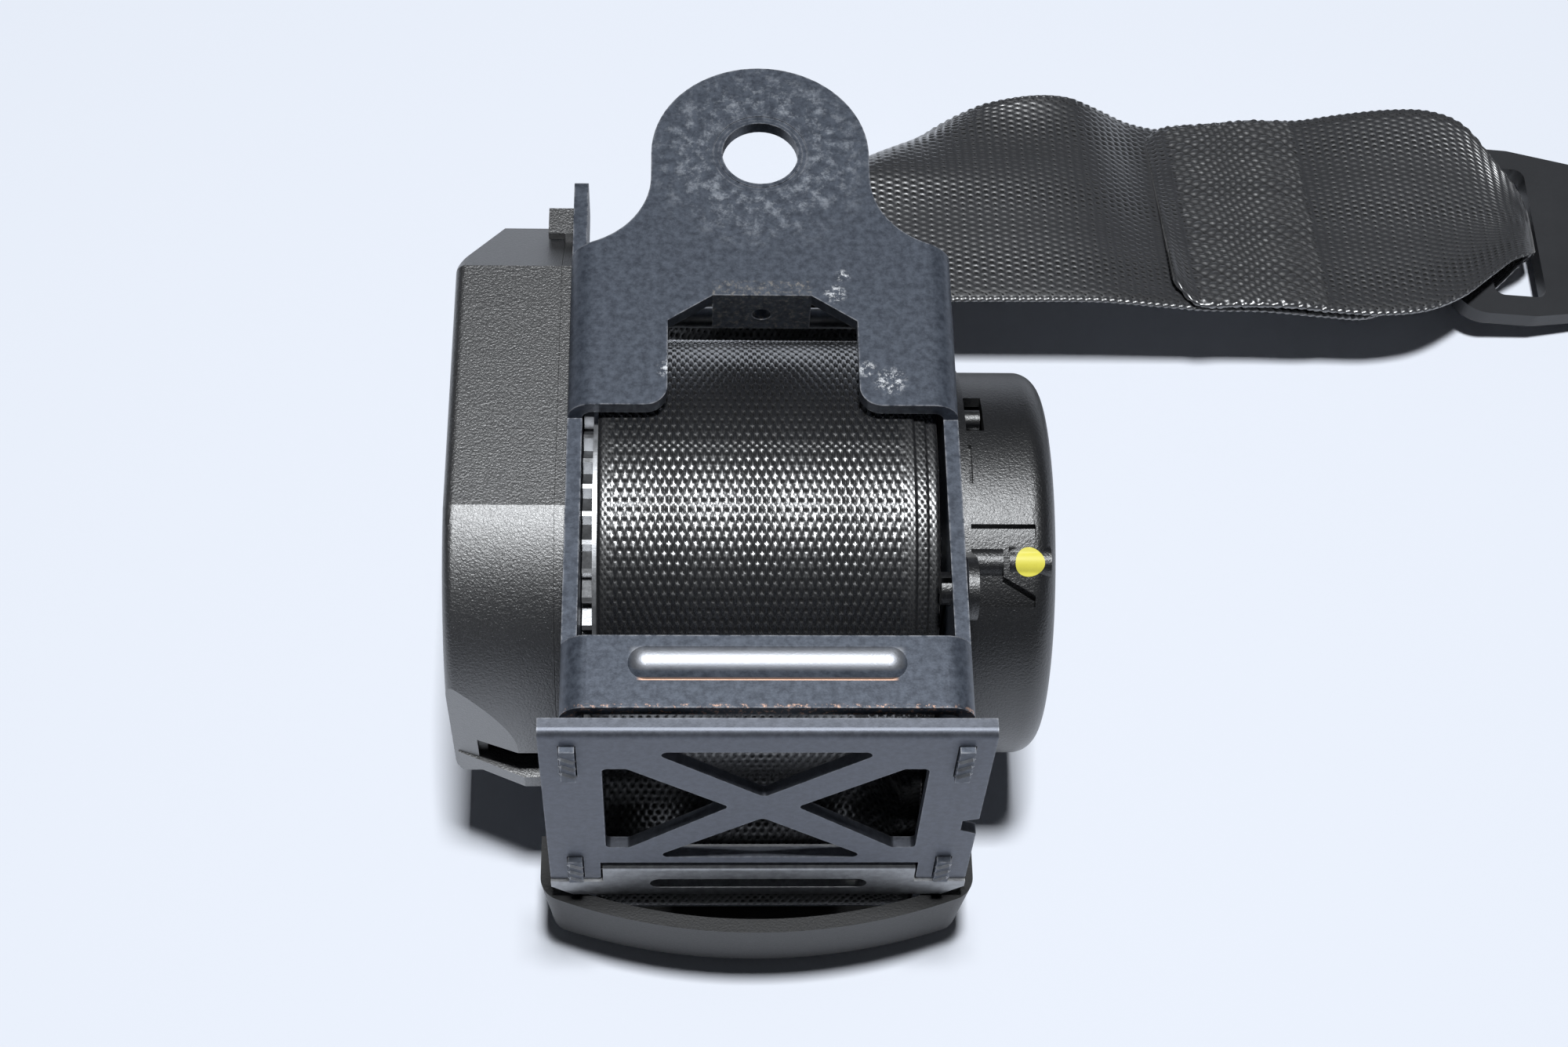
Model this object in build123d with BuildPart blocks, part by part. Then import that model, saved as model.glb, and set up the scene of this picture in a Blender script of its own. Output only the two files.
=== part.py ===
from build123d import *
import os
from math import atan2, cos, degrees, pi, radians, sin, sqrt

os.makedirs("parts", exist_ok=True)

# A seat belt retractor lying with its mounting face up, with its free webbing and anchor plate.
# The origin is the centre of the frame's bolt hole, on the mounting face. +X runs along the
# spool towards the spring drum, +Y away from the belt's exit, and +Z out of the mounting face.
# Sizes are in millimetres. Planes through the spool axis carry nearly every sketch.

# Webbing and the roll it is wound to
webbing_width = 46.0
webbing_thickness = 1.2
roll_radius = 32.0
roll_clearance = 0.1

# Main layout, round the roll
sheet = 2.0
hole_to_axis = 47.0
face_to_axis = roll_radius + sheet + 1.0
axis_to_table = roll_radius + 4.0
spool_y = -hole_to_axis
spool_z = -face_to_axis

# Frame, as wide inside as the webbing and the spool's side room
spool_room = 3.0
frame_width = webbing_width + spool_room + 2 * sheet
bend_outer = sheet + 1.5
bend_inner = bend_outer - sheet
wall_x = frame_width / 2
wall_inside = wall_x - sheet
crossbar_near = -roll_radius - 8.7
crossbar_far = crossbar_near + 10.3
yoke_near = 4.5
shoulder_y = 30.7
tab_radius = 15.5
tab_fillet = 12.0
bolt_hole_radius = 5.4
coin_radius = 6.7
coin_width = 0.7
coin_depth = 0.15
yoke_gap_half = 13.0
yoke_gap_side = 18.2
yoke_gap_far = 22.4
lip_half = 6.8
lip_drop = 8.0
lip_hole_radius = 1.3
bead_length = 35.6
bead_width = 4.7
bead_depth = 0.8

# Ratchet
side_gap = 0.2
ratchet_teeth = 48
ratchet_tip = roll_radius - 2.5
ratchet_root = ratchet_tip - 1.8
ratchet_phase = -3.4
ratchet_thickness = 1.35
ratchet_left = -wall_inside + side_gap
ratchet_right = ratchet_left + ratchet_thickness

# Spool, bushes and torsion bar
flange_radius = roll_radius - 2.0
flange_thickness = 0.6
flange_left = ratchet_right
core_radius = 13.0
roll_left = flange_left + flange_thickness + 0.05
roll_right = roll_left + webbing_width
bar_radius = 4.0
bar_clearance = 0.05
journal_radius = bar_radius + 2.0
running_fit = 0.05
bush_radius = journal_radius + 3.0
bush_wall_fit = 0.05
bush_flange_radius = bush_radius + 1.5
bush_flange = 1.0

# Pawl, on the far lower side of the ratchet
pawl_pin_radius = 2.0
pawl_hub_radius = 4.0
pawl_reach = ratchet_tip + pawl_hub_radius + 0.5
pawl_pivot_z = -22.5
pawl_pivot_y = sqrt(pawl_reach**2 - pawl_pivot_z**2)
pawl_swing = 6.2

# Tie plate
plate_thickness = 1.6
plate_back = -roll_radius - 10.4
plate_front = plate_back - plate_thickness
plate_half = wall_x + 2.65
plate_top = face_to_axis - 1.3
plate_bottom = -12.6
flange_depth = plate_thickness + 0.9
lattice_top = plate_top - 4.9
lattice_low = -5.0
tenons = [(face_to_axis - 9.0, 9.0), (-8.4, 7.0)]
tenon_proud = 0.9
tenon_fit = 0.15

# Lower plate
lower_half = wall_inside - 2.7
lower_top = -8.0
lower_bottom = plate_bottom - 4.8
lower_ledge_top = plate_bottom - 0.1
lower_thickness = 2.0

# Webbing guide
guide_half = wall_x + 4.4
guide_bottom = -axis_to_table + 3.6
guide_top = lower_bottom - 0.6
guide_far = -roll_radius - 3.2
guide_wall = 2.0
guide_near_side = guide_far - 8.8
guide_near_mid = guide_far - 14.8

# Left housing
base_thickness = 1.4
base_gap = 0.1
sensor_base_left = -wall_x - base_gap - base_thickness
sensor_out = sensor_base_left - 15.0
sensor_wall = 1.5
near_arc = 30.0

# Right drum
drum_radius = 27.5
drum_wall = 2.0
drum_edge = 3.5
spring_base_right = wall_x + base_gap + base_thickness
drum_out = spring_base_right + 12.0

# Free webbing
fold_radius = 8.0
fold_line = 63.9
strap_half = webbing_width / 2 + 0.3
strap_lift = 0.1
strap_gap = 0.3

# Anchor plate
bar_x = 122.3
bar_width = 7.5
anchor_thickness = 3.0
anchor_rise = 6.5
anchor_slot_length = 27.0
anchor_half = anchor_slot_length / 2 + 4.0
loop_half = anchor_slot_length / 2 - 1.3
anchor_slot_width = 9.2
anchor_slot_corner = 1.8
anchor_hole_reach = 30.0
anchor_hole_radius = 5.5
anchor_end_radius = 14.0


def across(x):
    """Plane across the spool at x: local x runs along +Y and local y along +Z."""
    return Plane(origin=(x, spool_y, spool_z), x_dir=(0, 1, 0), z_dir=(1, 0, 0))


def level(height):
    """Level plane at a height over the spool axis."""
    return Plane(origin=(0, spool_y, spool_z + height), x_dir=(1, 0, 0), z_dir=(0, 0, 1))


def upright(y):
    """Upright plane at y from the spool axis, seen from the belt's exit side."""
    return Plane(origin=(0, spool_y + y, spool_z), x_dir=(1, 0, 0), z_dir=(0, -1, 0))


def polar(radius, angle):
    """Point of a side sketch at a radius and an angle in degrees."""
    return (radius * cos(radians(angle)), radius * sin(radians(angle)))


# Frame: one bent channel with its face on top
wall_far = roll_radius + 3.0
wall_outline = [
    (crossbar_near, face_to_axis + 1),
    (shoulder_y + 20, face_to_axis + 1),
    (shoulder_y + 20, face_to_axis - 4),
    (shoulder_y + 0.5, face_to_axis - 10),
    (wall_far, 21),
    (wall_far, 11),
    (wall_far - 2, 0),
    (wall_far - 2, -26),
    (wall_far - 10, -axis_to_table),
    (guide_far + 4.2, -axis_to_table),
    (guide_far + 0.3, -axis_to_table + 4),
    (guide_far + 0.3, guide_top + 0.3),
    (plate_back + 0.1, guide_top + 4),
    (plate_back + 0.1, face_to_axis - 4),
    (crossbar_near, face_to_axis - 4),
]
tongue_far = 46.0
tongue_top = 30.0
tongue_low = 21.0
rod_radius = 1.5
rod_reach = roll_radius + rod_radius + 1.75
rod_y, rod_z = polar(rod_reach, 31.7)
peg_radius = 2.2
peg_reach = roll_radius + peg_radius + 0.75
peg_angles = [125.0, 226.7, 313.3]
peg_spots = [polar(peg_reach, angle) for angle in peg_angles]
peg_proud = 1.3
plate_pegs = [polar(roll_radius - 10, angle) for angle in (120.0, 240.0, 350.0)]
channel_far = hole_to_axis
window_floor = face_to_axis - sheet - bend_inner

with BuildPart() as retractor_frame:
    with BuildSketch(upright(channel_far)) as channel_outside:
        with Locations((0, face_to_axis - 40)):
            Rectangle(frame_width, 80)
        fillet(channel_outside.vertices().group_by(Axis.Y)[-1], bend_outer)
    extrude(amount=channel_far - plate_back + 1)
    with BuildSketch(upright(channel_far)) as channel_inside:
        with Locations((0, face_to_axis - sheet - 40)):
            Rectangle(frame_width - 2 * sheet, 80)
        fillet(channel_inside.vertices().group_by(Axis.Y)[-1], bend_inner)
    extrude(amount=channel_far - plate_back + 1, mode=Mode.SUBTRACT)
    with BuildSketch(across(0)):
        with BuildLine():
            Polyline(*wall_outline, close=True)
        make_face()
    extrude(amount=frame_width, both=True, mode=Mode.INTERSECT)
    # Concave shoulders between the walls and the bolt tab
    with BuildSketch(level(face_to_axis + 1)):
        with BuildLine():
            shoulder = CenterArc((tab_radius + tab_fillet, shoulder_y + tab_fillet), tab_fillet, 180, 90)
            Polyline(
                shoulder @ 1,
                (wall_x + 3, shoulder_y),
                (wall_x + 3, hole_to_axis + 1),
                (tab_radius, hole_to_axis + 1),
                shoulder @ 0,
            )
        make_face()
        mirror(about=Plane.YZ)
    extrude(amount=-60, mode=Mode.SUBTRACT)
    with BuildSketch(level(face_to_axis)):
        with Locations((0, hole_to_axis)):
            Circle(tab_radius)
    extrude(amount=-sheet)
    # Window over the roll, with the yoke's own gap behind it
    with BuildSketch(level(face_to_axis + 1)) as window:
        with Locations((0, (crossbar_far + yoke_near) / 2)):
            Rectangle(frame_width + 2, yoke_near - crossbar_far)
    extrude(amount=-(face_to_axis + 1 - window_floor), mode=Mode.SUBTRACT)
    with BuildSketch(level(face_to_axis + 1)) as yoke_gap:
        with BuildLine():
            Polyline(
                (-yoke_gap_half, yoke_near - 1),
                (-yoke_gap_half, yoke_gap_side),
                (-lip_half, yoke_gap_far),
                (lip_half, yoke_gap_far),
                (yoke_gap_half, yoke_gap_side),
                (yoke_gap_half, yoke_near - 1),
                close=True,
            )
        make_face()
    extrude(amount=-(sheet + 2), mode=Mode.SUBTRACT)
    arm_corners = retractor_frame.edges().filter_by(Axis.Z).filter_by_position(
        Axis.X, -yoke_gap_half - 0.1, yoke_gap_half + 0.1
    ).filter_by_position(Axis.Y, spool_y + yoke_near - 0.1, spool_y + yoke_near + 0.1)
    fillet(arm_corners, 3.0)
    # Lip bent down from the far edge of the gap
    with BuildSketch(across(-lip_half)) as lip_section:
        with Locations((yoke_gap_far + sheet / 2, face_to_axis - lip_drop / 2)):
            Rectangle(sheet, lip_drop)
        fillet(lip_section.vertices().sort_by(Axis.Y)[-2:].sort_by(Axis.X)[0], sheet * 0.9)
    extrude(amount=2 * lip_half)
    with BuildSketch(upright(yoke_gap_far - 1)):
        with Locations((0, face_to_axis - 4.6)):
            Circle(lip_hole_radius)
    extrude(amount=-6, mode=Mode.SUBTRACT)
    # Round-bottomed bead pressed down into the crossbar
    bead_y = (crossbar_near + crossbar_far) / 2 + 1.2
    with BuildSketch(level(face_to_axis - sheet)):
        with Locations((0, bead_y)):
            SlotOverall(bead_length, bead_width)
    extrude(amount=-bead_depth, taper=30)
    bead_round = (bead_width**2 / 4 + bead_depth**2) / (2 * bead_depth)
    bead_centre = face_to_axis + bead_round - bead_depth
    bead_side = (bead_length - bead_width) / 2
    with BuildSketch(across(-bead_side)):
        with Locations((bead_y, bead_centre)):
            Circle(bead_round)
    extrude(amount=2 * bead_side, mode=Mode.SUBTRACT)
    bead_end = (bead_side, spool_y + bead_y, spool_z + bead_centre)
    with Locations((-bead_end[0], bead_end[1], bead_end[2]), bead_end):
        Sphere(bead_round, mode=Mode.SUBTRACT)
    # Bolt hole with the ring coined round it
    with BuildSketch(level(face_to_axis)):
        with Locations((0, hole_to_axis)):
            Circle(coin_radius)
            Circle(coin_radius - coin_width, mode=Mode.SUBTRACT)
    extrude(amount=-coin_depth, mode=Mode.SUBTRACT)
    with BuildSketch(level(face_to_axis + 1)):
        with Locations((0, hole_to_axis)):
            Circle(bolt_hole_radius)
    extrude(amount=-(sheet + 2), mode=Mode.SUBTRACT)
    # Tongue of the left wall
    with BuildSketch(across(-wall_x)) as tongue:
        with BuildLine():
            Polyline(
                (shoulder_y - 4, tongue_top),
                (tongue_far, tongue_top),
                (tongue_far, tongue_low),
                (shoulder_y - 4, tongue_low),
                close=True,
            )
        make_face()
        fillet(tongue.vertices().group_by(Axis.X)[-1], 1.5)
    extrude(amount=sheet)
    # Tenons that go through the tie plate
    for side in (-1, 1):
        for height, length in tenons:
            with BuildSketch(upright(plate_back + 0.5)):
                with Locations((side * (wall_x - sheet / 2), height)):
                    Rectangle(sheet, length)
            extrude(amount=plate_thickness + 0.5 + tenon_proud)
    # Bores for the bushes, the rear rod, the pawl pin and the pegs
    with BuildSketch(across(0)):
        Circle(bush_radius + bush_wall_fit)
        with Locations((rod_y, rod_z)):
            Circle(rod_radius + tenon_fit / 3)
    extrude(amount=wall_x + 1, both=True, mode=Mode.SUBTRACT)
    with BuildSketch(across(-wall_x - 1)):
        with Locations((pawl_pivot_y, pawl_pivot_z)):
            Circle(pawl_pin_radius + tenon_fit / 3)
    extrude(amount=sheet + 2, mode=Mode.SUBTRACT)
    with BuildSketch(across(wall_x + 1)):
        with Locations(*peg_spots):
            Circle(peg_radius + tenon_fit)
    extrude(amount=-(sheet + 2), mode=Mode.SUBTRACT)
    with BuildSketch(across(-wall_x - 1)):
        with Locations(*plate_pegs):
            Circle(peg_radius + tenon_fit)
    extrude(amount=sheet + 2, mode=Mode.SUBTRACT)
retractor_frame.part.label = "retractor_frame"
export_step(retractor_frame.part, "parts/retractor_frame.step")

# Tie plate with its cross lattice
lattice_half = wall_inside - 3.3
lattice_mid = (lattice_top + lattice_low) / 2
upper_apex = lattice_top - 13.7
lower_apex = lattice_low + 13.3
upper_half = lattice_half - 6.3
side_apex = 4.5
side_top = lattice_top - 5.0
side_low = lattice_low + 3.4
notch_low = 3.0
notch_high = 8.0
foot_inner = lower_half + 0.3
foot_slot = lattice_low - 1.9
with BuildPart() as tie_plate:
    with BuildSketch(upright(plate_back)) as plate_outline:
        with BuildLine():
            Polyline(
                (-plate_half, plate_top - plate_thickness),
                (plate_half, plate_top - plate_thickness),
                (plate_half, notch_high),
                (plate_half - 2.2, notch_high - 0.8),
                (plate_half - 2.2, notch_low + 1.2),
                (plate_half, notch_low),
                (plate_half, plate_bottom),
                (foot_inner, plate_bottom),
                (foot_inner, foot_slot),
                (-foot_inner, foot_slot),
                (-foot_inner, plate_bottom),
                (-plate_half, plate_bottom),
                close=True,
            )
        make_face()
        fillet(plate_outline.vertices().group_by(Axis.Y)[0], 0.8)
        with BuildSketch(mode=Mode.SUBTRACT) as upper_gap:
            with BuildLine():
                Polyline((-upper_half, lattice_top), (upper_half, lattice_top), (0, upper_apex), close=True)
            make_face()
            fillet(upper_gap.vertices(), 0.9)
        with BuildSketch(mode=Mode.SUBTRACT) as lower_gap:
            with BuildLine():
                Polyline((-upper_half, lattice_low), (upper_half, lattice_low), (0, lower_apex), close=True)
            make_face()
            fillet(lower_gap.vertices(), 0.9)
        with BuildSketch(mode=Mode.SUBTRACT) as side_gap_shape:
            with BuildLine():
                Polyline(
                    (lattice_half, side_top),
                    (lattice_half - 3.2, side_top),
                    (side_apex, lattice_mid),
                    (lattice_half - 3.2, side_low),
                    (lattice_half, side_low),
                    close=True,
                )
            make_face()
            fillet(side_gap_shape.vertices(), 0.8)
            mirror(about=Plane.YZ)
        for height, length in tenons:
            with Locations((-wall_x + sheet / 2, height), (wall_x - sheet / 2, height)):
                Rectangle(sheet + 2 * tenon_fit, length + 2 * tenon_fit, mode=Mode.SUBTRACT)
    extrude(amount=plate_thickness)
    # Top flange bent back towards the crossbar
    with BuildSketch(across(-plate_half)) as flange_section:
        with Locations((plate_front + flange_depth / 2, plate_top - plate_thickness / 2)):
            Rectangle(flange_depth, plate_thickness)
        fillet(flange_section.vertices().group_by(Axis.Y)[-1].sort_by(Axis.X)[0], 1.2)
    extrude(amount=2 * plate_half)
tie_plate.part.label = "tie_plate"
export_step(tie_plate.part, "parts/tie_plate.step")

# Lower plate between the feet, with ledges under them
with BuildPart() as lower_plate:
    with BuildSketch(upright(plate_back)) as lower_outline:
        with BuildLine():
            Polyline(
                (-lower_half, lower_top),
                (lower_half, lower_top),
                (lower_half, lower_ledge_top),
                (plate_half, lower_ledge_top),
                (plate_half, lower_ledge_top - 1.8),
                (plate_half - 3, lower_bottom),
                (-plate_half + 3, lower_bottom),
                (-plate_half, lower_ledge_top - 1.8),
                (-plate_half, lower_ledge_top),
                (-lower_half, lower_ledge_top),
                close=True,
            )
        make_face()
        with Locations((0, lower_top - 5.4)):
            SlotOverall(30.5, 3.0, mode=Mode.SUBTRACT)
    extrude(amount=lower_thickness)
    with BuildSketch(upright(plate_back + 1.2)):
        with Locations((0, lower_top - 2.0)):
            Rectangle(25.0, 6.0)
    extrude(amount=1.2)
    fillet(lower_plate.edges().filter_by(Axis.X).group_by(Axis.Z)[-2].sort_by(Axis.Y)[0], 0.8)
lower_plate.part.label = "lower_plate"
export_step(lower_plate.part, "parts/lower_plate.step")

# Webbing guide: a bell mouth, open at the top and slotted through its floor
mouth_half = webbing_width / 2 + 1.6
slot_far = guide_far - guide_wall
slot_near = slot_far - 4.2
with BuildPart() as webbing_guide:
    with BuildSketch(level(guide_bottom)) as guide_floor:
        with BuildLine():
            rim = ThreePointArc(
                (-guide_half + 1.2, guide_near_side + 0.8),
                (0, guide_near_mid + 1.6),
                (guide_half - 1.2, guide_near_side + 0.8),
            )
            Polyline(rim @ 1, (guide_half - 1.2, guide_far), (-guide_half + 1.2, guide_far), rim @ 0)
        make_face()
        fillet(guide_floor.vertices().group_by(Axis.Y)[0], 3.0)
    with BuildSketch(level(guide_top)) as guide_mouth:
        with BuildLine():
            rim = ThreePointArc(
                (-guide_half, guide_near_side), (0, guide_near_mid), (guide_half, guide_near_side)
            )
            Polyline(rim @ 1, (guide_half, guide_far), (-guide_half, guide_far), rim @ 0)
        make_face()
        fillet(guide_mouth.vertices().group_by(Axis.Y)[0], 3.6)
    loft()
    with BuildSketch(level(guide_bottom + 3.0)) as well_floor:
        with BuildLine():
            rim = ThreePointArc(
                (-mouth_half, slot_near - 1.2), (0, guide_near_mid + 5.2), (mouth_half, slot_near - 1.2)
            )
            Polyline(rim @ 1, (mouth_half, slot_far), (-mouth_half, slot_far), rim @ 0)
        make_face()
    with BuildSketch(level(guide_top + 0.5)) as well_top:
        with BuildLine():
            rim = ThreePointArc(
                (-guide_half + 2.4, guide_near_side + 1.4),
                (0, guide_near_mid + 1.9),
                (guide_half - 2.4, guide_near_side + 1.4),
            )
            Polyline(rim @ 1, (guide_half - 2.4, slot_far), (-guide_half + 2.4, slot_far), rim @ 0)
        make_face()
    loft(mode=Mode.SUBTRACT)
    with BuildSketch(level(guide_bottom - 1)):
        with Locations((0, (slot_far + slot_near) / 2)):
            Rectangle(2 * mouth_half, slot_far - slot_near)
    extrude(amount=6, mode=Mode.SUBTRACT)
    floor_edges = webbing_guide.edges().filter_by(Axis.X).group_by(Axis.Z)[0]
    fillet(floor_edges.sort_by(Axis.Y)[-2:], 0.9)
webbing_guide.part.label = "webbing_guide"
export_step(webbing_guide.part, "parts/webbing_guide.step")

# Rear tie rod, riveted in the walls
with BuildPart() as rear_tie_rod:
    with BuildSketch(across(-wall_x - 0.1)):
        with Locations((rod_y, rod_z)):
            Circle(rod_radius)
    extrude(amount=frame_width + 0.2)
rear_tie_rod.part.label = "rear_tie_rod"
export_step(rear_tie_rod.part, "parts/rear_tie_rod.step")

# Spool core: body, left flange and both journals, bored for the torsion bar
journal_left = sensor_base_left - 6.0
journal_right = spring_base_right + 0.6
with BuildPart() as spool_core:
    with BuildSketch(Plane(origin=(0, spool_y, spool_z), x_dir=(1, 0, 0), z_dir=(0, -1, 0))) as core_section:
        with BuildLine():
            Polyline(
                (journal_left, bar_radius + bar_clearance),
                (journal_left, journal_radius),
                (flange_left, journal_radius),
                (flange_left, flange_radius),
                (flange_left + flange_thickness, flange_radius),
                (flange_left + flange_thickness, core_radius),
                (roll_right + 0.2, core_radius),
                (roll_right + 0.2, journal_radius),
                (journal_right, journal_radius),
                (journal_right, bar_radius + bar_clearance),
                close=True,
            )
        make_face()
    revolve(axis=Axis((0, spool_y, spool_z), (1, 0, 0)))
spool_core.part.label = "spool_core"
export_step(spool_core.part, "parts/spool_core.step")

with BuildPart() as torsion_bar:
    with BuildSketch(across(journal_left - 1)):
        Circle(bar_radius)
    extrude(amount=drum_out - 3.0 - journal_left)
torsion_bar.part.label = "torsion_bar"
export_step(torsion_bar.part, "parts/torsion_bar.step")

# Wound webbing as one drum
with BuildPart() as webbing_roll:
    with BuildSketch(across(roll_left)):
        Circle(roll_radius)
        Circle(core_radius + roll_clearance, mode=Mode.SUBTRACT)
    extrude(amount=webbing_width)
webbing_roll.part.label = "webbing_roll"
export_step(webbing_roll.part, "parts/webbing_roll.step")


def saw_points(count, root, tip, phase):
    """Outline of a saw-toothed wheel: each tooth rises to its tip and drops back to the root."""
    points = []
    for index in range(count):
        start = phase + index * 360 / count
        points.append(polar(root, start))
        points.append(polar(tip, start + 0.62 * 360 / count))
        points.append(polar(tip, start + 0.78 * 360 / count))
    return points


# Ratchet wheel with saw teeth
with BuildPart() as lock_ratchet:
    with BuildSketch(across(ratchet_left)):
        with BuildLine():
            Polyline(*saw_points(ratchet_teeth, ratchet_root, ratchet_tip, ratchet_phase), close=True)
        make_face()
        Circle(journal_radius + 0.02, mode=Mode.SUBTRACT)
    extrude(amount=ratchet_right - ratchet_left)
lock_ratchet.part.label = "lock_ratchet"
export_step(lock_ratchet.part, "parts/lock_ratchet.step")

# Bushes of the spool in the two walls
for side, bush_name in ((-1, "left_bush"), (1, "right_bush")):
    with BuildPart() as bush:
        with BuildSketch(across(side * wall_inside)):
            Circle(bush_radius)
            Circle(journal_radius + running_fit, mode=Mode.SUBTRACT)
        extrude(amount=side * sheet)
        with BuildSketch(across(side * wall_x)):
            Circle(bush_flange_radius)
            Circle(journal_radius + running_fit, mode=Mode.SUBTRACT)
        extrude(amount=side * bush_flange)
    bush.part.label = bush_name
    export_step(bush.part, f"parts/{bush_name}.step")

# Pawl and its pin
pawl_thickness = ratchet_right - ratchet_left - 0.1
# Outline of the pawl's arm as it lies when its nose is in the ratchet's teeth
pawl_arm = [
    (ratchet_tip - 4.5, -18.6),
    (ratchet_tip + 1.4, -9.0),
    (ratchet_tip + 1.5, -3.0),
    (ratchet_tip + 1.1, -1.9),
    (ratchet_tip - 1.4, -1.6),
    (ratchet_tip + 0.9, 1.2),
    (ratchet_tip + 3.7, 1.4),
    (ratchet_tip + 4.7, -9.0),
    (ratchet_tip - 0.1, -21.6),
]


def turned_back(point):
    """A point of the engaged pawl, turned back about the pivot to where it rests."""
    y, z = point[0] - pawl_pivot_y, point[1] - pawl_pivot_z
    swing = radians(pawl_swing)
    return (pawl_pivot_y + y * cos(swing) + z * sin(swing), pawl_pivot_z - y * sin(swing) + z * cos(swing))


with BuildPart() as lock_pawl:
    with BuildSketch(across(ratchet_left + 0.05)) as pawl_shape:
        with Locations((pawl_pivot_y, pawl_pivot_z)):
            Circle(pawl_hub_radius)
        with BuildLine():
            Polyline(*[turned_back(point) for point in pawl_arm], close=True)
        make_face()
        with Locations((pawl_pivot_y, pawl_pivot_z)):
            Circle(pawl_pin_radius + running_fit, mode=Mode.SUBTRACT)
    extrude(amount=pawl_thickness)
lock_pawl.part.label = "lock_pawl"
export_step(lock_pawl.part, "parts/lock_pawl.step")

with BuildPart() as pawl_pin:
    with BuildSketch(across(-wall_x)):
        with Locations((pawl_pivot_y, pawl_pivot_z)):
            Circle(pawl_pin_radius)
    extrude(amount=wall_x + ratchet_right)
pawl_pin.part.label = "pawl_pin"
export_step(pawl_pin.part, "parts/pawl_pin.step")

# Left housing: plate, cover and the sensor inside
housing_top = near_arc - 1.0
housing_far = 46.0


def housing_profile(inset):
    """Side outline of the left housing, drawn inwards by an inset."""
    radius = near_arc - inset
    top = housing_top - inset
    low = 24.0 - inset
    near_top_y = -sqrt(radius**2 - top**2)
    low_y = sqrt(radius**2 - low**2)
    near = ThreePointArc((near_top_y, top), polar(radius, 200), (low_y, -low))
    Polyline(
        near @ 1,
        (34.0 - inset * 0.5, -24.0 + inset),
        (housing_far - inset, -10.0 + inset * 0.5),
        (housing_far - inset, 18.0 - inset * 0.6),
        (32.0 - inset * 0.5, 28.2 - inset),
        near @ 0,
    )


cover_edge = 1.5
corner_start = 32.0
corner_end = 46.2
corner_x = sensor_out + 6.0
near_corner_start = near_arc - 3.3
near_corner_end = near_arc + 0.2
near_corner_x = sensor_out + 10.0
gap_top = -1.2
gap_bottom = -6.8
gap_depth = 3.1
rim_out = 0.9
rim_bottom = -9.8
tab_near = 41.5
tab_top = 23.0
tab_thickness = 2.4
lever_pivot_y = 31.0
lever_pivot_z = -13.5
lever_pin_radius = 1.0
lever_pin_length = 6.0
cover_depth = sensor_base_left - sensor_out
with BuildPart() as sensor_base:
    with BuildSketch(across(-wall_x - base_gap)):
        with BuildLine():
            housing_profile(0)
        make_face()
        Circle(bush_flange_radius + 0.3, mode=Mode.SUBTRACT)
    extrude(amount=-base_thickness)
    # Pegs moulded on the plate, pressed into the wall and flush with its inner face
    with BuildSketch(across(-wall_x - base_gap)):
        with Locations(*plate_pegs):
            Circle(peg_radius)
    extrude(amount=base_gap + sheet)
    # Tab that stands over the housing's slanted far corner
    with BuildSketch(across(-wall_x - base_gap)):
        with BuildLine():
            Polyline(
                (tab_near - 1.5, housing_top - 9.0),
                (tab_near, tab_top),
                (housing_far, tab_top),
                (housing_far, 17.0),
                close=True,
            )
        make_face()
    extrude(amount=-base_thickness)
    with BuildSketch(across(sensor_base_left)):
        with BuildLine():
            Polyline(
                (tab_near, tab_top - 1.4),
                (tab_near, tab_top),
                (housing_far, tab_top),
                (housing_far, tab_top - 4.6),
                close=True,
            )
        make_face()
    extrude(amount=-tab_thickness)
    # Stud that the sensor lever swings on
    with BuildSketch(across(sensor_base_left)):
        with Locations((lever_pivot_y, lever_pivot_z)):
            Circle(lever_pin_radius)
    extrude(amount=-lever_pin_length)
sensor_base.part.label = "sensor_base"
export_step(sensor_base.part, "parts/sensor_base.step")


def corner_cut(inset):
    """Plan outline outside the housing's slanted far corner, moved inwards by an inset."""
    Polyline(
        (sensor_out - 1, corner_start - inset),
        (sensor_out + inset, corner_start - inset),
        (corner_x + inset, corner_end - inset),
        (corner_x + inset, corner_end + 3),
        (sensor_out - 1, corner_end + 3),
        close=True,
    )


def near_corner_cut(inset):
    """Plan outline outside the housing's slanted near corner, moved inwards by an inset."""
    Polyline(
        (sensor_out - 1, -near_corner_start + inset),
        (sensor_out, -near_corner_start + inset),
        (near_corner_x, -near_corner_end + inset),
        (near_corner_x, -near_corner_end - 3),
        (sensor_out - 1, -near_corner_end - 3),
        close=True,
    )


with BuildPart() as sensor_cavity:
    with BuildSketch(across(sensor_base_left)):
        with BuildLine():
            housing_profile(sensor_wall)
        make_face()
    extrude(amount=-(cover_depth - sensor_wall))
    with BuildSketch(level(0)):
        with BuildLine():
            corner_cut(sensor_wall)
        make_face()
        with BuildLine():
            near_corner_cut(sensor_wall)
        make_face()
    extrude(amount=60, both=True, mode=Mode.SUBTRACT)

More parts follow.
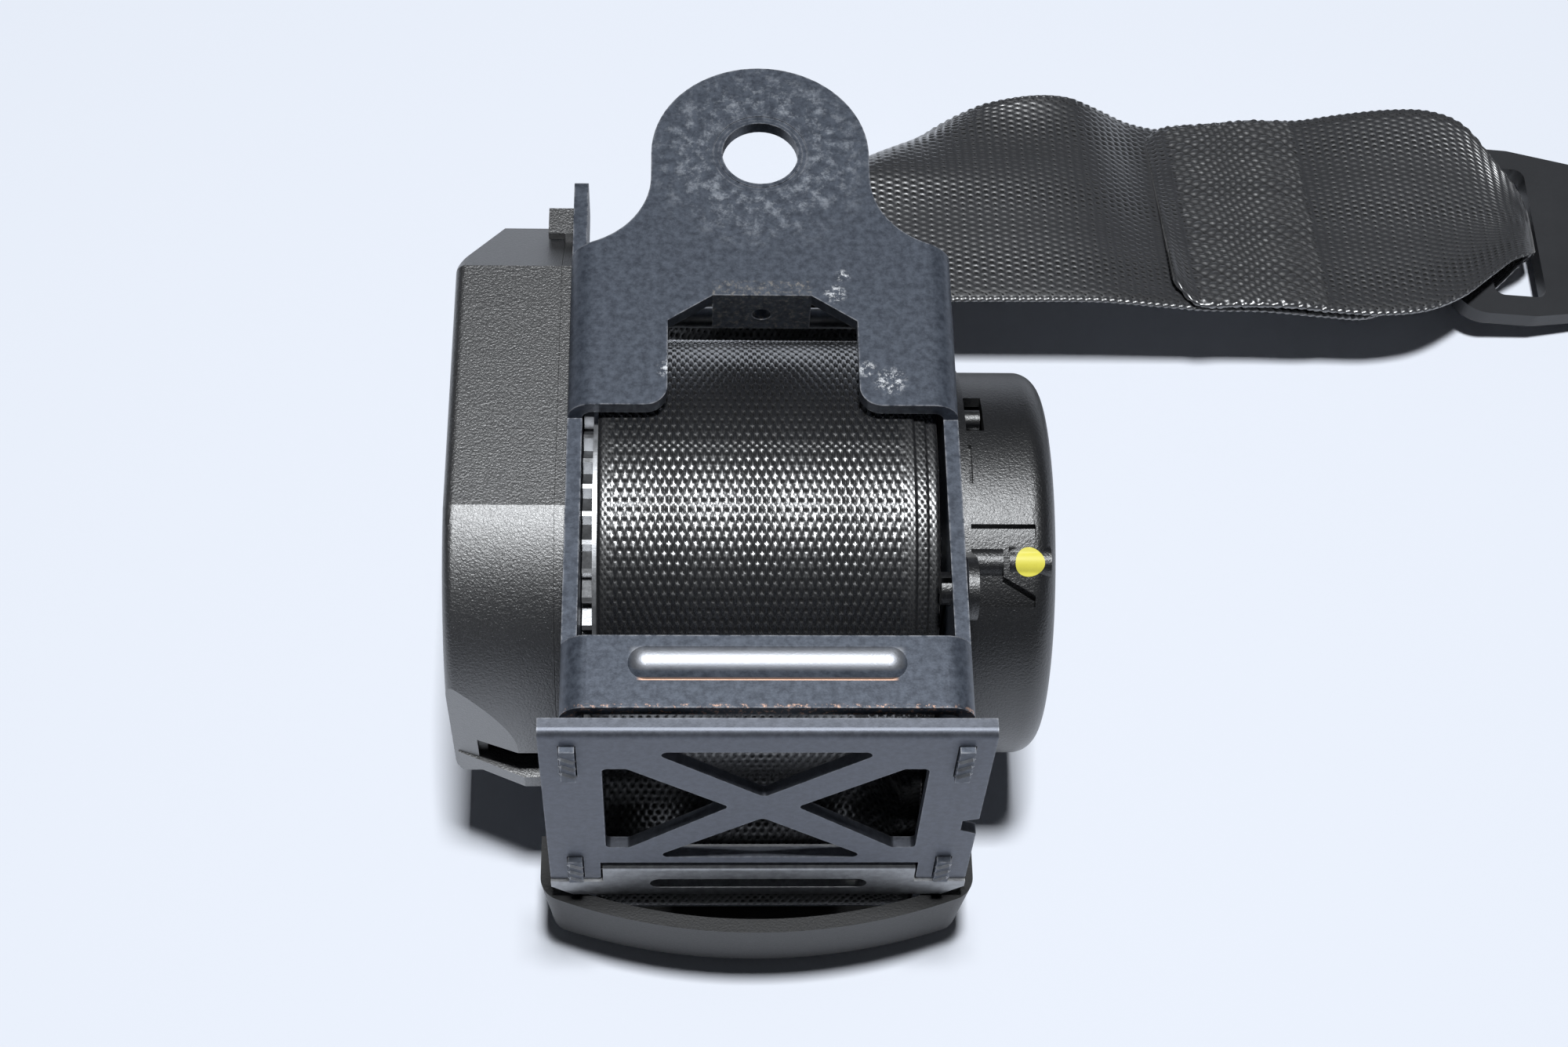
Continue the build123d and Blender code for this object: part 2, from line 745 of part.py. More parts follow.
with BuildPart() as sensor_cover:
    with BuildSketch(across(sensor_base_left - 0.05)):
        with BuildLine():
            housing_profile(0)
        make_face()
    extrude(amount=-(cover_depth - 0.05))
    fillet(sensor_cover.faces().sort_by(Axis.X)[0].edges(), cover_edge)
    with BuildSketch(level(0)):
        with BuildLine():
            corner_cut(0)
        make_face()
        with BuildLine():
            near_corner_cut(0)
        make_face()
    extrude(amount=60, both=True, mode=Mode.SUBTRACT)
    add(sensor_cavity.part, mode=Mode.SUBTRACT)
    # Dark gap low on the near side, and the rim under it
    with BuildSketch(level(gap_top)):
        with Locations(((sensor_out + 3.6 + sensor_base_left + 1) / 2, -near_arc + gap_depth - 5)):
            Rectangle(sensor_base_left + 1 - sensor_out - 3.6, 10)
    extrude(amount=gap_bottom - gap_top, mode=Mode.SUBTRACT)
    with BuildSketch(level(gap_bottom)) as near_rim:
        with BuildLine():
            Polyline(
                (sensor_out + 0.6, -near_corner_start - 0.4),
                (near_corner_x, -near_corner_end - rim_out),
                (sensor_base_left - 0.05, -near_corner_end - rim_out),
                (sensor_base_left - 0.05, -near_arc + sensor_wall + 0.6),
                (near_corner_x + 0.5, -near_arc + sensor_wall + 0.6),
                (sensor_out + 0.6, -near_corner_start + 1.5),
                close=True,
            )
        make_face()
    extrude(amount=rim_bottom - gap_bottom)
sensor_cover.part.label = "sensor_cover"
export_step(sensor_cover.part, "parts/sensor_cover.step")

# Right drum: plate, cover and return spring
lobe_radius = 4.2
window_near = 5.7
window_far = 12.6
window_out = spring_base_right + 2.6
hook_radius = 1.4
hook_reach = drum_radius - hook_radius - 0.3
hook_y = (window_near + window_far) / 2
hook_z = sqrt(hook_reach**2 - hook_y**2)
groove_half = 3.1
groove_width = 0.6
recess_far = -8.7
recess_near = -18.4
recess_out = drum_out - 3.1
recess_depth = 1.2
rib_radius = 2.2
rib_turn = 119.3
with BuildPart() as spring_base:
    with BuildSketch(across(wall_x + base_gap)) as base_shape:
        Circle(drum_radius + 0.8)
        for spot in peg_spots:
            reach = sqrt(spot[0] ** 2 + spot[1] ** 2)
            turn = degrees(atan2(spot[1], spot[0]))
            with Locations(Location(polar(reach - lobe_radius - 4, turn), turn)):
                SlotOverall(4 * lobe_radius + 8, 2 * lobe_radius)
        Circle(bush_flange_radius + 0.3, mode=Mode.SUBTRACT)
        with Locations(*peg_spots):
            Circle(peg_radius - 0.4, mode=Mode.SUBTRACT)
    extrude(amount=base_thickness)
    # Hook that shows in the cover's window
    with BuildSketch(across(spring_base_right)):
        with Locations((hook_y, hook_z)):
            Circle(hook_radius)
    extrude(amount=window_out - spring_base_right - 0.3)
spring_base.part.label = "spring_base"
export_step(spring_base.part, "parts/spring_base.step")

# Recess in the drum's side, with a boss in it that narrows towards the plate
boss_tip = spring_base_right + 4.5
with BuildPart() as drum_recess:
    with BuildSketch(level(0)):
        with BuildLine():
            Polyline(
                (spring_base_right - 1, recess_far),
                (recess_out, recess_far),
                (recess_out, recess_far - 1.6),
                (boss_tip, recess_far - 3.8),
                (boss_tip, recess_near + 3.3),
                (recess_out, recess_near + 1.2),
                (recess_out, recess_near),
                (spring_base_right - 1, recess_near),
                close=True,
            )
        make_face()
    extrude(amount=drum_radius + 2)
    with BuildSketch(across(spring_base_right - 2)):
        Circle(drum_radius - recess_depth)
    extrude(amount=drum_out, mode=Mode.SUBTRACT)

with BuildPart() as spring_cover:
    with BuildSketch(across(spring_base_right + 0.05)):
        Circle(drum_radius)
    extrude(amount=drum_out - spring_base_right - 0.05)
    fillet(spring_cover.faces().sort_by(Axis.X)[-1].edges(), drum_edge)
    add(drum_recess.part, mode=Mode.SUBTRACT)
    # Round rib along the middle of the recess, and on over the boss to the drum's edge
    with BuildSketch(across(spring_base_right + 0.05)):
        with Locations(polar(drum_radius - recess_depth + 0.9 - rib_radius, rib_turn)):
            Circle(rib_radius)
    extrude(amount=boss_tip - spring_base_right)
    with BuildSketch(across(boss_tip + 0.8)):
        with Locations(polar(drum_radius + 0.4 - rib_radius, rib_turn)):
            Circle(rib_radius)
    extrude(amount=drum_out - 1.0 - boss_tip - 0.8)
    with BuildSketch(across(spring_base_right)):
        Circle(drum_radius - drum_wall)
    extrude(amount=drum_out - spring_base_right - drum_wall - 1.0, mode=Mode.SUBTRACT)
    # Window for the hook, and a short groove beside the plate
    with BuildSketch(level(0)):
        with Locations(((spring_base_right + window_out) / 2, (window_near + window_far) / 2)):
            Rectangle(window_out - spring_base_right, window_far - window_near)
    extrude(amount=drum_radius + 1, mode=Mode.SUBTRACT)
    with BuildSketch(level(drum_radius - 1.2)):
        with Locations((spring_base_right + groove_width / 2, 0)):
            Rectangle(groove_width, 2 * groove_half)
    extrude(amount=3, mode=Mode.SUBTRACT)
spring_cover.part.label = "spring_cover"
export_step(spring_cover.part, "parts/spring_cover.step")

# Split pegs that hold the spring plate to the wall
with BuildPart() as snap_pegs:
    for spot in peg_spots:
        with BuildSketch(across(wall_inside - peg_proud)):
            with Locations(spot):
                Circle(peg_radius)
                Rectangle(0.8, 2 * peg_radius + 1, mode=Mode.SUBTRACT)
        extrude(amount=sheet + peg_proud)
snap_pegs.part.label = "snap_pegs"
export_step(snap_pegs.part, "parts/snap_pegs.step")

# Spring arbor and the spiral mainspring
arbor_radius = bar_radius + 2.0
arbor_left = spring_base_right + 0.8
arbor_right = drum_out - 3.5
with BuildPart() as spring_arbor:
    with BuildSketch(across(arbor_left)):
        Circle(arbor_radius)
        Circle(bar_radius + 0.02, mode=Mode.SUBTRACT)
    extrude(amount=arbor_right - arbor_left)
spring_arbor.part.label = "spring_arbor"
export_step(spring_arbor.part, "parts/spring_arbor.step")

spring_turns = 5
spring_strip = 0.5
spring_first = arbor_radius + 1.2
spring_last = drum_radius - drum_wall - 1.0
spring_step = (spring_last - spring_first) / spring_turns
with BuildPart() as mainspring:
    with BuildSketch(across(arbor_left + 0.5)):
        with BuildLine() as spiral:
            radius = spring_first
            start = -radius
            for half in range(2 * spring_turns):
                centre = start + radius if half % 2 == 0 else start - radius
                CenterArc((centre, 0), radius, 180 if half % 2 == 0 else 0, 180)
                start = centre + radius if half % 2 == 0 else centre - radius
                radius = radius + spring_step / 2
        trace(line_width=spring_strip)
    extrude(amount=arbor_right - arbor_left - 1.0)
mainspring.part.label = "mainspring"
export_step(mainspring.part, "parts/mainspring.step")

# Inertia wheel, sensor lever, seat and ball inside the left housing
inertia_teeth = 48
inertia_tip = 21.4
inertia_root = inertia_tip - 1.2
inertia_phase = -0.4
inertia_left = sensor_base_left - 4.6
inertia_right = sensor_base_left - 2.2
with BuildPart() as inertia_wheel:
    with BuildSketch(across(inertia_left)):
        with BuildLine():
            Polyline(*saw_points(inertia_teeth, inertia_root, inertia_tip, inertia_phase), close=True)
        make_face()
        Circle(journal_radius + 0.02, mode=Mode.SUBTRACT)
    extrude(amount=inertia_right - inertia_left)
inertia_wheel.part.label = "inertia_wheel"
export_step(inertia_wheel.part, "parts/inertia_wheel.step")

ball_radius = 4.5
ball_y = 37.4
ball_z = 0.0
ball_x = sensor_base_left - 5.0
with BuildPart() as sensor_lever:
    with BuildSketch(across(inertia_left)) as lever_shape:
        with Locations((lever_pivot_y, lever_pivot_z)):
            Circle(2.4)
        with BuildLine():
            Polyline(
                (lever_pivot_y - 1.6, lever_pivot_z + 1.4),
                (31.0, -4.0),
                (28.0, 2.2),
                (inertia_tip + 0.55, 3.5),
                (inertia_tip + 0.85, 4.5),
                (29.4, 5.4),
                (32.6, 5.4),
                (32.6, -4.0),
                (lever_pivot_y + 2.2, lever_pivot_z + 0.6),
                close=True,
            )
        make_face()
        with Locations((lever_pivot_y, lever_pivot_z)):
            Circle(lever_pin_radius + running_fit, mode=Mode.SUBTRACT)
    extrude(amount=inertia_right - inertia_left)
    with BuildSketch(across(inertia_left)):
        with BuildLine():
            Polyline((31.4, -4.0), (31.4, 5.4), (32.6, 5.4), (32.6, -4.0), close=True)
        make_face()
    extrude(amount=-6.0)
sensor_lever.part.label = "sensor_lever"
export_step(sensor_lever.part, "parts/sensor_lever.step")

with BuildPart() as sensor_ball:
    with Locations((ball_x, spool_y + ball_y, spool_z + ball_z)):
        Sphere(ball_radius)
sensor_ball.part.label = "sensor_ball"
export_step(sensor_ball.part, "parts/sensor_ball.step")

seat_near = 39.8
seat_far = 44.2
with BuildPart() as sensor_seat:
    with BuildSketch(across(sensor_base_left - 0.1)) as seat_side:
        with Locations(((seat_near + seat_far) / 2, ball_z)):
            Rectangle(seat_far - seat_near, 13.0)
        with BuildLine():
            Polyline(
                (lever_pivot_y - 2.5, lever_pivot_z - 2.8),
                (lever_pivot_y - 2.5, lever_pivot_z - 4.3),
                (36.8, lever_pivot_z - 4.3),
                (43.4, -9.9),
                (seat_far, ball_z - 6.4),
                (seat_near, ball_z - 6.4),
                (38.2, -9.0),
                (lever_pivot_y + 3.4, lever_pivot_z + 0.5),
                (lever_pivot_y + 3.0, lever_pivot_z - 2.8),
                close=True,
            )
        make_face()
    extrude(amount=-7.0)
    with Locations((ball_x, spool_y + ball_y, spool_z + ball_z)):
        Sphere(ball_radius + 0.2, mode=Mode.SUBTRACT)
sensor_seat.part.label = "sensor_seat"
export_step(sensor_seat.part, "parts/sensor_seat.step")

# Free webbing: out of the guide, under the roll, through the soft fold and into the anchor's loop
strap_low = -axis_to_table + strap_lift + webbing_thickness / 2
fold_shift = pi * fold_radius
fold_reach = strap_half * sqrt(2)
strap_mid = fold_line + fold_shift / sqrt(2)
bar_height = -axis_to_table + anchor_rise
loop_height = 4.3
fold_origin = (0, spool_y + fold_line, spool_z + strap_low)
with BuildPart() as strap_fold:
    with BuildSketch(Plane(origin=fold_origin, x_dir=(-1, 1, 0), z_dir=(1, 1, 0))):
        with Locations((0, fold_radius)):
            Circle(fold_radius + webbing_thickness / 2)
            Circle(fold_radius - webbing_thickness / 2, mode=Mode.SUBTRACT)
        with Locations((-50, fold_radius)):
            Rectangle(100, 100, mode=Mode.SUBTRACT)
    extrude(amount=90, both=True)
    # The webbing's edges climb the fold at 45 degrees
    with BuildSketch(Plane(origin=fold_origin, x_dir=(1, 1, 0), z_dir=(1, -1, 0))):
        lean = fold_shift / (2 * fold_radius)
        below = -2.0
        above = 2 * fold_radius + 2.0
        with BuildLine():
            Polyline(
                (-fold_reach + below * lean, below),
                (fold_reach + below * lean, below),
                (fold_reach + above * lean, above),
                (-fold_reach + above * lean, above),
                close=True,
            )
        make_face()
    extrude(amount=30, both=True, mode=Mode.INTERSECT)

with BuildPart() as belt_strap:
    with BuildSketch(across(-strap_half)):
        with BuildLine():
            FilletPolyline(
                (-roll_radius - strap_gap - webbing_thickness / 2, 4.0),
                (-roll_radius - strap_gap - webbing_thickness / 2, -2.0),
                ((slot_far + slot_near) / 2, -22.0),
                ((slot_far + slot_near) / 2, strap_low),
                (fold_line + strap_half + 5, strap_low),
                radius=[8.0, 6.0, 3.2],
            )
        trace(line_width=webbing_thickness)
    extrude(amount=2 * strap_half)
    with BuildSketch(level(0)):
        with BuildLine():
            Polyline((-40, fold_line - 40), (60, fold_line + 60), (-40, fold_line + 60), close=True)
        make_face()
    extrude(amount=-60, mode=Mode.SUBTRACT)
    add(strap_fold.part)

with BuildPart() as belt_run:
    with BuildSketch(upright(strap_mid - strap_half)):
        with BuildLine():
            FilletPolyline(
                (-40, strap_low + 2 * fold_radius),
                (44, strap_low + 2 * fold_radius),
                (70, bar_height + loop_height + 1.5),
                (108, bar_height + loop_height),
                (bar_x - 2, bar_height + loop_height),
                radius=[30, 30, 60],
            )
        trace(line_width=webbing_thickness)
        # Sewn loop round the anchor's bar
        with Locations((bar_x - 2, bar_height)):
            SlotOverall(16.4, 2 * loop_height + webbing_thickness)
            SlotOverall(16.4 - 2 * webbing_thickness, 2 * loop_height - webbing_thickness, mode=Mode.SUBTRACT)
    extrude(amount=-2 * strap_half)
    with BuildSketch(level(0)):
        with BuildLine():
            Polyline((-60, fold_line - 60), (60, fold_line + 60), (-60, fold_line + 60), close=True)
        make_face()
    extrude(amount=-60, mode=Mode.SUBTRACT)
    with BuildSketch(level(0)):
        for side in (-1, 1):
            with BuildLine():
                Polyline(
                    (98, strap_mid + side * (strap_half + 1)),
                    (98, strap_mid + side * strap_half),
                    (bar_x - 5.5, strap_mid + side * loop_half),
                    (bar_x + 10, strap_mid + side * loop_half),
                    (bar_x + 10, strap_mid + side * (strap_half + 1)),
                    close=True,
                )
            make_face()
    extrude(amount=-60, mode=Mode.SUBTRACT)

with BuildPart() as belt_whole:
    add(belt_strap.part)
    add(belt_run.part)
belt_whole.part.label = "belt_strap"
export_step(belt_whole.part, "parts/belt_strap.step")

# Anchor plate, its bar in the loop and its bolt end down on the table
anchor_reach = anchor_hole_reach + anchor_end_radius
anchor_lean = (anchor_rise - anchor_thickness / 2 - 0.1) / anchor_reach
anchor_plane = Plane(
    origin=(bar_x, spool_y + strap_mid, spool_z + bar_height),
    x_dir=(sqrt(1 - anchor_lean**2), 0, -anchor_lean),
    z_dir=(anchor_lean, 0, sqrt(1 - anchor_lean**2)),
)
with BuildPart() as anchor_plate:
    with BuildSketch(anchor_plane.offset(-anchor_thickness / 2)) as anchor_outline:
        wide = bar_width + anchor_slot_width + 3
        with Locations((-bar_width / 2 + wide / 2, 0)):
            RectangleRounded(wide, 2 * anchor_half, 6)
        with Locations((anchor_hole_reach, 0)):
            Circle(anchor_end_radius)
        make_hull()
        with Locations((bar_width / 2 + anchor_slot_width / 2, 0)):
            RectangleRounded(anchor_slot_width, anchor_slot_length, anchor_slot_corner, mode=Mode.SUBTRACT)
        with Locations((anchor_hole_reach, 0)):
            Circle(anchor_hole_radius, mode=Mode.SUBTRACT)
    extrude(amount=anchor_thickness)
anchor_plate.part.label = "anchor_plate"
export_step(anchor_plate.part, "parts/anchor_plate.step")
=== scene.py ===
import math

import bpy
import numpy as np
from mathutils import Matrix, Vector
from mathutils.bvhtree import BVHTree


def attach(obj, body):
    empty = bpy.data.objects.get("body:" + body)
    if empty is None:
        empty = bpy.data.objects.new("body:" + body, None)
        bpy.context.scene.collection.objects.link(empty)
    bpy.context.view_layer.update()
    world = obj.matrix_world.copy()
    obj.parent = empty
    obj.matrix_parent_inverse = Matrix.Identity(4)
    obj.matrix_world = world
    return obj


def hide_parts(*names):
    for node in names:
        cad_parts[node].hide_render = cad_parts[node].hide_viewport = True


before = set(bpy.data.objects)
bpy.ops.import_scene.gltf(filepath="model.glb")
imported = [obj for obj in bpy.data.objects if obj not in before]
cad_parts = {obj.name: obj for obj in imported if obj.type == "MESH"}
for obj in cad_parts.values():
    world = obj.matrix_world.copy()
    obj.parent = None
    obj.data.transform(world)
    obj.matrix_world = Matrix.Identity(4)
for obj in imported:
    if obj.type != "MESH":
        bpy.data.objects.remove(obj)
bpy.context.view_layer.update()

# Sizes and places, in metres, in the object's frame: bolt hole at the origin, +X along the spool
MM = 0.001
SPOOL_Y = -47 * MM
SPOOL_Z = -35 * MM
TABLE_Z = -71 * MM

# Camera at the photograph's angle
IMAGE_WIDTH = 2000
FOCAL_PIXELS = 3400
SENSOR_WIDTH = 36
CAMERA_PLACE = Vector((-0.01117, -0.23594, 0.30178))
CAMERA_AZIMUTH = math.radians(4.43)
CAMERA_DROP = math.radians(59.81)
CAMERA_ROLL = math.radians(4.04)

# Webbing
WEB_WIDTH = 46.6 * MM
WEB_THICKNESS = 1.2 * MM
CELL_ACROSS = 1.18 * MM
CELL_ALONG = 2.7 * MM
RELIEF = 0.13 * MM
ROLL_RADIUS = 32 * MM
FOLD_RADIUS = 8 * MM
FOLD_LINE = 63.9 * MM
STRAP_LOW = 0.7 * MM
STRAP_MID = FOLD_LINE + math.pi * FOLD_RADIUS / math.sqrt(2)
STRAP_STEP = 0.3 * MM
RUN_START = 40 * MM
FOLD_BLEND = 14 * MM
BLEND_LENGTH = 104 * MM

# The fold's far corner in plan, which way it points, and how much it's rounded off
CORNER = np.array([30, 57.5]) * MM
CORNER_WAY = np.array([-0.383, 0.924])
CORNER_TRIM = 3.2 * MM

# Wound roll: its ends, its outer turn, and the steps down to the under-turns as X and drop in mm
ROLL_LEFT = -22.3 * MM
ROLL_RIGHT = 23.7 * MM
TOP_TURN_MIDDLE = -0.9 * MM
TOP_TURN_HALF = 21.4 * MM
UNDER_TURNS = ((20.3, 0.55), (21.9, 0.6))
CORE_RADIUS = 13.4 * MM

# Places on the steel and on the drum, in the object's frame
# The bead and crossbar edge places below also set where the yoke's painted highlights go
BEAD_Y = -81.35 * MM
BEAD_HALF = 17.8 * MM
BEAD_SIDE = 2.35 * MM
CROSSBAR_EDGE = -87.7 * MM
LIP_Y = -23.6 * MM
LIP_HALF = 6.8 * MM
DRUM_RADIUS = 27.5 * MM
DOT_X = 36.0 * MM
DOT_TURN = math.radians(119.2)
DOT_RADIUS = 2.0 * MM
TENON_X = 25.5 * MM
TENON_FACE = -91.93 * MM
TENON_HEIGHTS = (-9.0 * MM, -43.4 * MM)
MARK_PITCH = 2.2 * MM
MARK_HALF = 1.15 * MM
MARK_SIDE = 0.42 * MM
MARK_ROOT = 0.12 * MM
MARK_CREST = -0.28 * MM
MARK_LEAN = math.radians(35)

# Scratches on the yoke: X, Y and reach in mm
SCRATCHES = (
    (-12.8, -36.7, 2.0),
    (14.0, -36.6, 1.7),
    (17.2, -38.6, 2.8),
    (10.0, -24.2, 2.0),
    (11.2, -21.2, 1.3),
)

# Lamp overhead, in metres and watts
LAMP_PLACE = (0.02, SPOOL_Y - 0.03, 1.35)
LAMP_SIZE = 0.16
LAMP_POWER = 20.5


def make_camera():
    """The camera stands where the photograph was taken from."""
    data = bpy.data.cameras.new("camera")
    data.sensor_width = SENSOR_WIDTH
    data.lens = FOCAL_PIXELS / IMAGE_WIDTH * SENSOR_WIDTH
    data.clip_start = 0.01
    camera = bpy.data.objects.new("camera", data)
    bpy.context.collection.objects.link(camera)
    level = math.cos(CAMERA_DROP)
    east, north = math.sin(CAMERA_AZIMUTH), math.cos(CAMERA_AZIMUTH)
    forward = Vector((east * level, north * level, -math.sin(CAMERA_DROP)))
    side = Vector((north, -east, 0))
    above = side.cross(forward)
    right = math.cos(CAMERA_ROLL) * side + math.sin(CAMERA_ROLL) * above
    up = math.cos(CAMERA_ROLL) * above - math.sin(CAMERA_ROLL) * side
    turn = Matrix((right, up, -forward)).transposed().to_4x4()
    camera.matrix_world = Matrix.Translation(CAMERA_PLACE) @ turn
    bpy.context.scene.camera = camera


def area_light(name, place, aim, size, power, colour):
    """A square soft light at a place, turned to its aim."""
    data = bpy.data.lights.new(name, "AREA")
    data.shape = "SQUARE"
    data.size = size
    data.energy = power
    data.color = colour
    light = bpy.data.objects.new(name, data)
    bpy.context.collection.objects.link(light)
    light.location = place
    light.rotation_euler = (Vector(aim) - Vector(place)).to_track_quat("-Z", "Y").to_euler()


def grid_object(name, points, fabric=None, loop_across=False, loop_along=False, caps=False):
    """A mesh over a grid of points, rows along and columns across, closed where asked."""
    rows, columns = points.shape[:2]
    index = np.arange(rows * columns).reshape(rows, columns)
    if loop_across:
        index = np.hstack([index, index[:, :1]])
    if loop_along:
        index = np.vstack([index, index[:1]])
    quads = np.stack([index[:-1, :-1], index[:-1, 1:], index[1:, 1:], index[1:, :-1]], axis=-1).reshape(-1, 4)
    mesh = bpy.data.meshes.new(name)
    faces = len(quads)
    ends = [list(index[0, :columns][::-1]), list(index[-1, :columns])] if caps else []
    corners = np.concatenate([quads.ravel()] + [np.array(end) for end in ends]).astype(np.int32)
    end_starts = faces * 4 + np.arange(len(ends)) * columns
    starts = np.concatenate([np.arange(faces) * 4, end_starts]).astype(np.int32)
    mesh.vertices.add(rows * columns)
    mesh.vertices.foreach_set("co", points.reshape(-1).astype(np.float32))
    mesh.loops.add(len(corners))
    mesh.loops.foreach_set("vertex_index", corners)
    mesh.polygons.add(len(starts))
    mesh.polygons.foreach_set("loop_start", starts)
    mesh.update(calc_edges=True)
    mesh.validate()
    mesh.polygons.foreach_set("use_smooth", np.ones(len(mesh.polygons), bool))
    if fabric is not None:
        layer = mesh.attributes.new("fabric", "FLOAT_VECTOR", "POINT")
        layer.data.foreach_set("vector", fabric.reshape(-1).astype(np.float32))
    piece = bpy.data.objects.new(name, mesh)
    bpy.context.collection.objects.link(piece)
    return piece


def smooth_step(value, low, high):
    """0 below low, 1 above high, and a soft change between."""
    share = np.clip((value - low) / (high - low), 0, 1)
    return share * share * (3 - 2 * share)


def float_pattern(across, along, pitch_across, pitch_along, plump=0.68):
    """Height of staggered lens-shaped yarn floats, from 0 to 1, as wide as plump says."""
    height = np.zeros(np.broadcast(across, along).shape)
    for stagger in (0, 0.5):
        column = across / pitch_across + stagger
        row = along / pitch_along + stagger
        side = 2 * (column - np.round(column))
        end = 2 * (row - np.round(row))
        length = np.cos(math.pi / 2 * end)
        width = 0.08 + plump * length
        body = np.sqrt(np.clip(1 - (side / width) ** 2, 0, 1)) * np.sqrt(np.clip(length, 0, 1))
        height = np.maximum(height, body)
    return height


def weave(across, along, half_width, plump):
    """Relief of the webbing: long floats in the middle and short tight ones along both edges."""
    middle = float_pattern(across, along, CELL_ACROSS, CELL_ALONG, plump)
    edge = 0.7 * float_pattern(across, along, 0.75 * MM, CELL_ALONG / 2)
    share = smooth_step(np.abs(across), half_width - 2.1 * MM, half_width - 1.6 * MM)
    return middle * (1 - share) + edge * share


def rounded_path(points, radii, step):
    """Evenly spaced points on a path of straight runs joined by arcs."""
    out = [np.array(points[0], float)]
    for before, corner, after, radius in zip(points, points[1:], points[2:], radii):
        before, corner, after = (np.array(p, float) for p in (before, corner, after))
        come = (corner - before) / np.linalg.norm(corner - before)
        leave = (after - corner) / np.linalg.norm(after - corner)
        turn = math.acos(np.clip(come @ leave, -1, 1))
        reach = radius * math.tan(turn / 2)
        bisector = leave - come
        bisector = bisector / np.linalg.norm(bisector)
        centre = corner + bisector * radius / math.cos(turn / 2)
        start = corner - come * reach
        arm = start - centre
        across = come * radius
        for angle in np.linspace(0, turn, 24):
            out.append(centre + arm * math.cos(angle) + across * math.sin(angle))
    out.append(np.array(points[-1], float))
    return even_points(np.array(out), step)


def even_points(points, step):
    """The line with its points evenly spaced by their first two columns, and the others carried along."""
    gaps = np.linalg.norm(np.diff(points[:, :2], axis=0), axis=1)
    travel = np.concatenate([[0], np.cumsum(gaps)])
    count = int(round(travel[-1] / step)) + 1
    even = np.linspace(0, travel[-1], count)
    columns = [np.interp(even, travel, points[:, axis]) for axis in range(points.shape[1])]
    return np.stack(columns, axis=-1)


def spline_points(points, step):
    """Evenly spaced points on a smooth curve through the given ones."""
    points = np.array(points, float)
    ends = np.vstack([2 * points[0] - points[1], points, 2 * points[-1] - points[-2]])
    out = []
    for a, b, c, d in zip(ends, ends[1:], ends[2:], ends[3:]):
        for t in np.linspace(0, 1, 20, endpoint=False):
            square = 2 * a - 5 * b + 4 * c - d
            cube = 3 * b - a - 3 * c + d
            out.append(0.5 * (2 * b + (c - a) * t + square * t * t + cube * t**3))
    out.append(points[-1])
    return even_points(np.array(out), step)


def node_material(name):
    """A new material and its node tree, with the surface shader at hand."""
    made = bpy.data.materials.new(name)
    made.use_nodes = True
    return made, made.node_tree, made.node_tree.nodes["Principled BSDF"]


def add_node(tree, kind, settings=None, **inputs):
    """A node with its settings and inputs filled in; an input may be a number or another node's output."""
    node = tree.nodes.new(kind)
    for key, value in (settings or {}).items():
        setattr(node, key, value)
    for key, value in inputs.items():
        by_number = key[0] == "i" and key[1:].isdigit()
        socket = node.inputs[int(key[1:]) if by_number else key.replace("_", " ")]
        if isinstance(value, bpy.types.NodeSocket):
            tree.links.new(value, socket)
        else:
            socket.default_value = value
    return node


def object_place(tree):
    """Where a point lies on the object, in metres."""
    return add_node(tree, "ShaderNodeTexCoord").outputs["Object"]


def noise(tree, place, scale, detail=3.0, rough=0.55):
    """Grain from 0 to 1 at a scale in cells per metre."""
    inputs = {"Vector": place, "Scale": scale, "Detail": detail, "Roughness": rough}
    return add_node(tree, "ShaderNodeTexNoise", **inputs).outputs[0]


def ramp(tree, value, low, high):
    """Value spread from low..high to 0..1."""
    settings = {"interpolation_type": "SMOOTHSTEP", "clamp": True}
    node = add_node(tree, "ShaderNodeMapRange", settings, Value=value)
    node.inputs["From Min"].default_value = low
    node.inputs["From Max"].default_value = high
    return node.outputs[0]


def maths(tree, operation, first, second=0.0):
    """One sum on two values."""
    return add_node(tree, "ShaderNodeMath", {"operation": operation}, i0=first, i1=second).outputs[0]


def mix_colour(tree, share, first, second):
    """A mix of two colours."""
    node = tree.nodes.new("ShaderNodeMix")
    node.data_type = "RGBA"
    for socket, value in ((node.inputs[0], share), (node.inputs[6], first), (node.inputs[7], second)):
        if isinstance(value, bpy.types.NodeSocket):
            tree.links.new(value, socket)
        else:
            socket.default_value = value
    return node.outputs[2]


def rgb(red, green, blue):
    """A colour with full opacity."""
    return (red, green, blue, 1)


def bump(tree, height, distance, strength):
    """Fine relief on a surface, as high as distance."""
    return add_node(tree, "ShaderNodeBump", Height=height, Distance=distance, Strength=strength).outputs[0]


def edge_wear(tree, radius, low=0.02, high=0.25):
    """Where an edge lies, from 0 on a flat face to 1 on the edge."""
    rounded = add_node(tree, "ShaderNodeBevel", {"samples": 6}, Radius=radius).outputs[0]
    true_normal = add_node(tree, "ShaderNodeNewGeometry").outputs["Normal"]
    dot = add_node(tree, "ShaderNodeVectorMath", {"operation": "DOT_PRODUCT"}, i0=rounded, i1=true_normal)
    return ramp(tree, maths(tree, "SUBTRACT", 1.0, dot.outputs["Value"]), low, high)


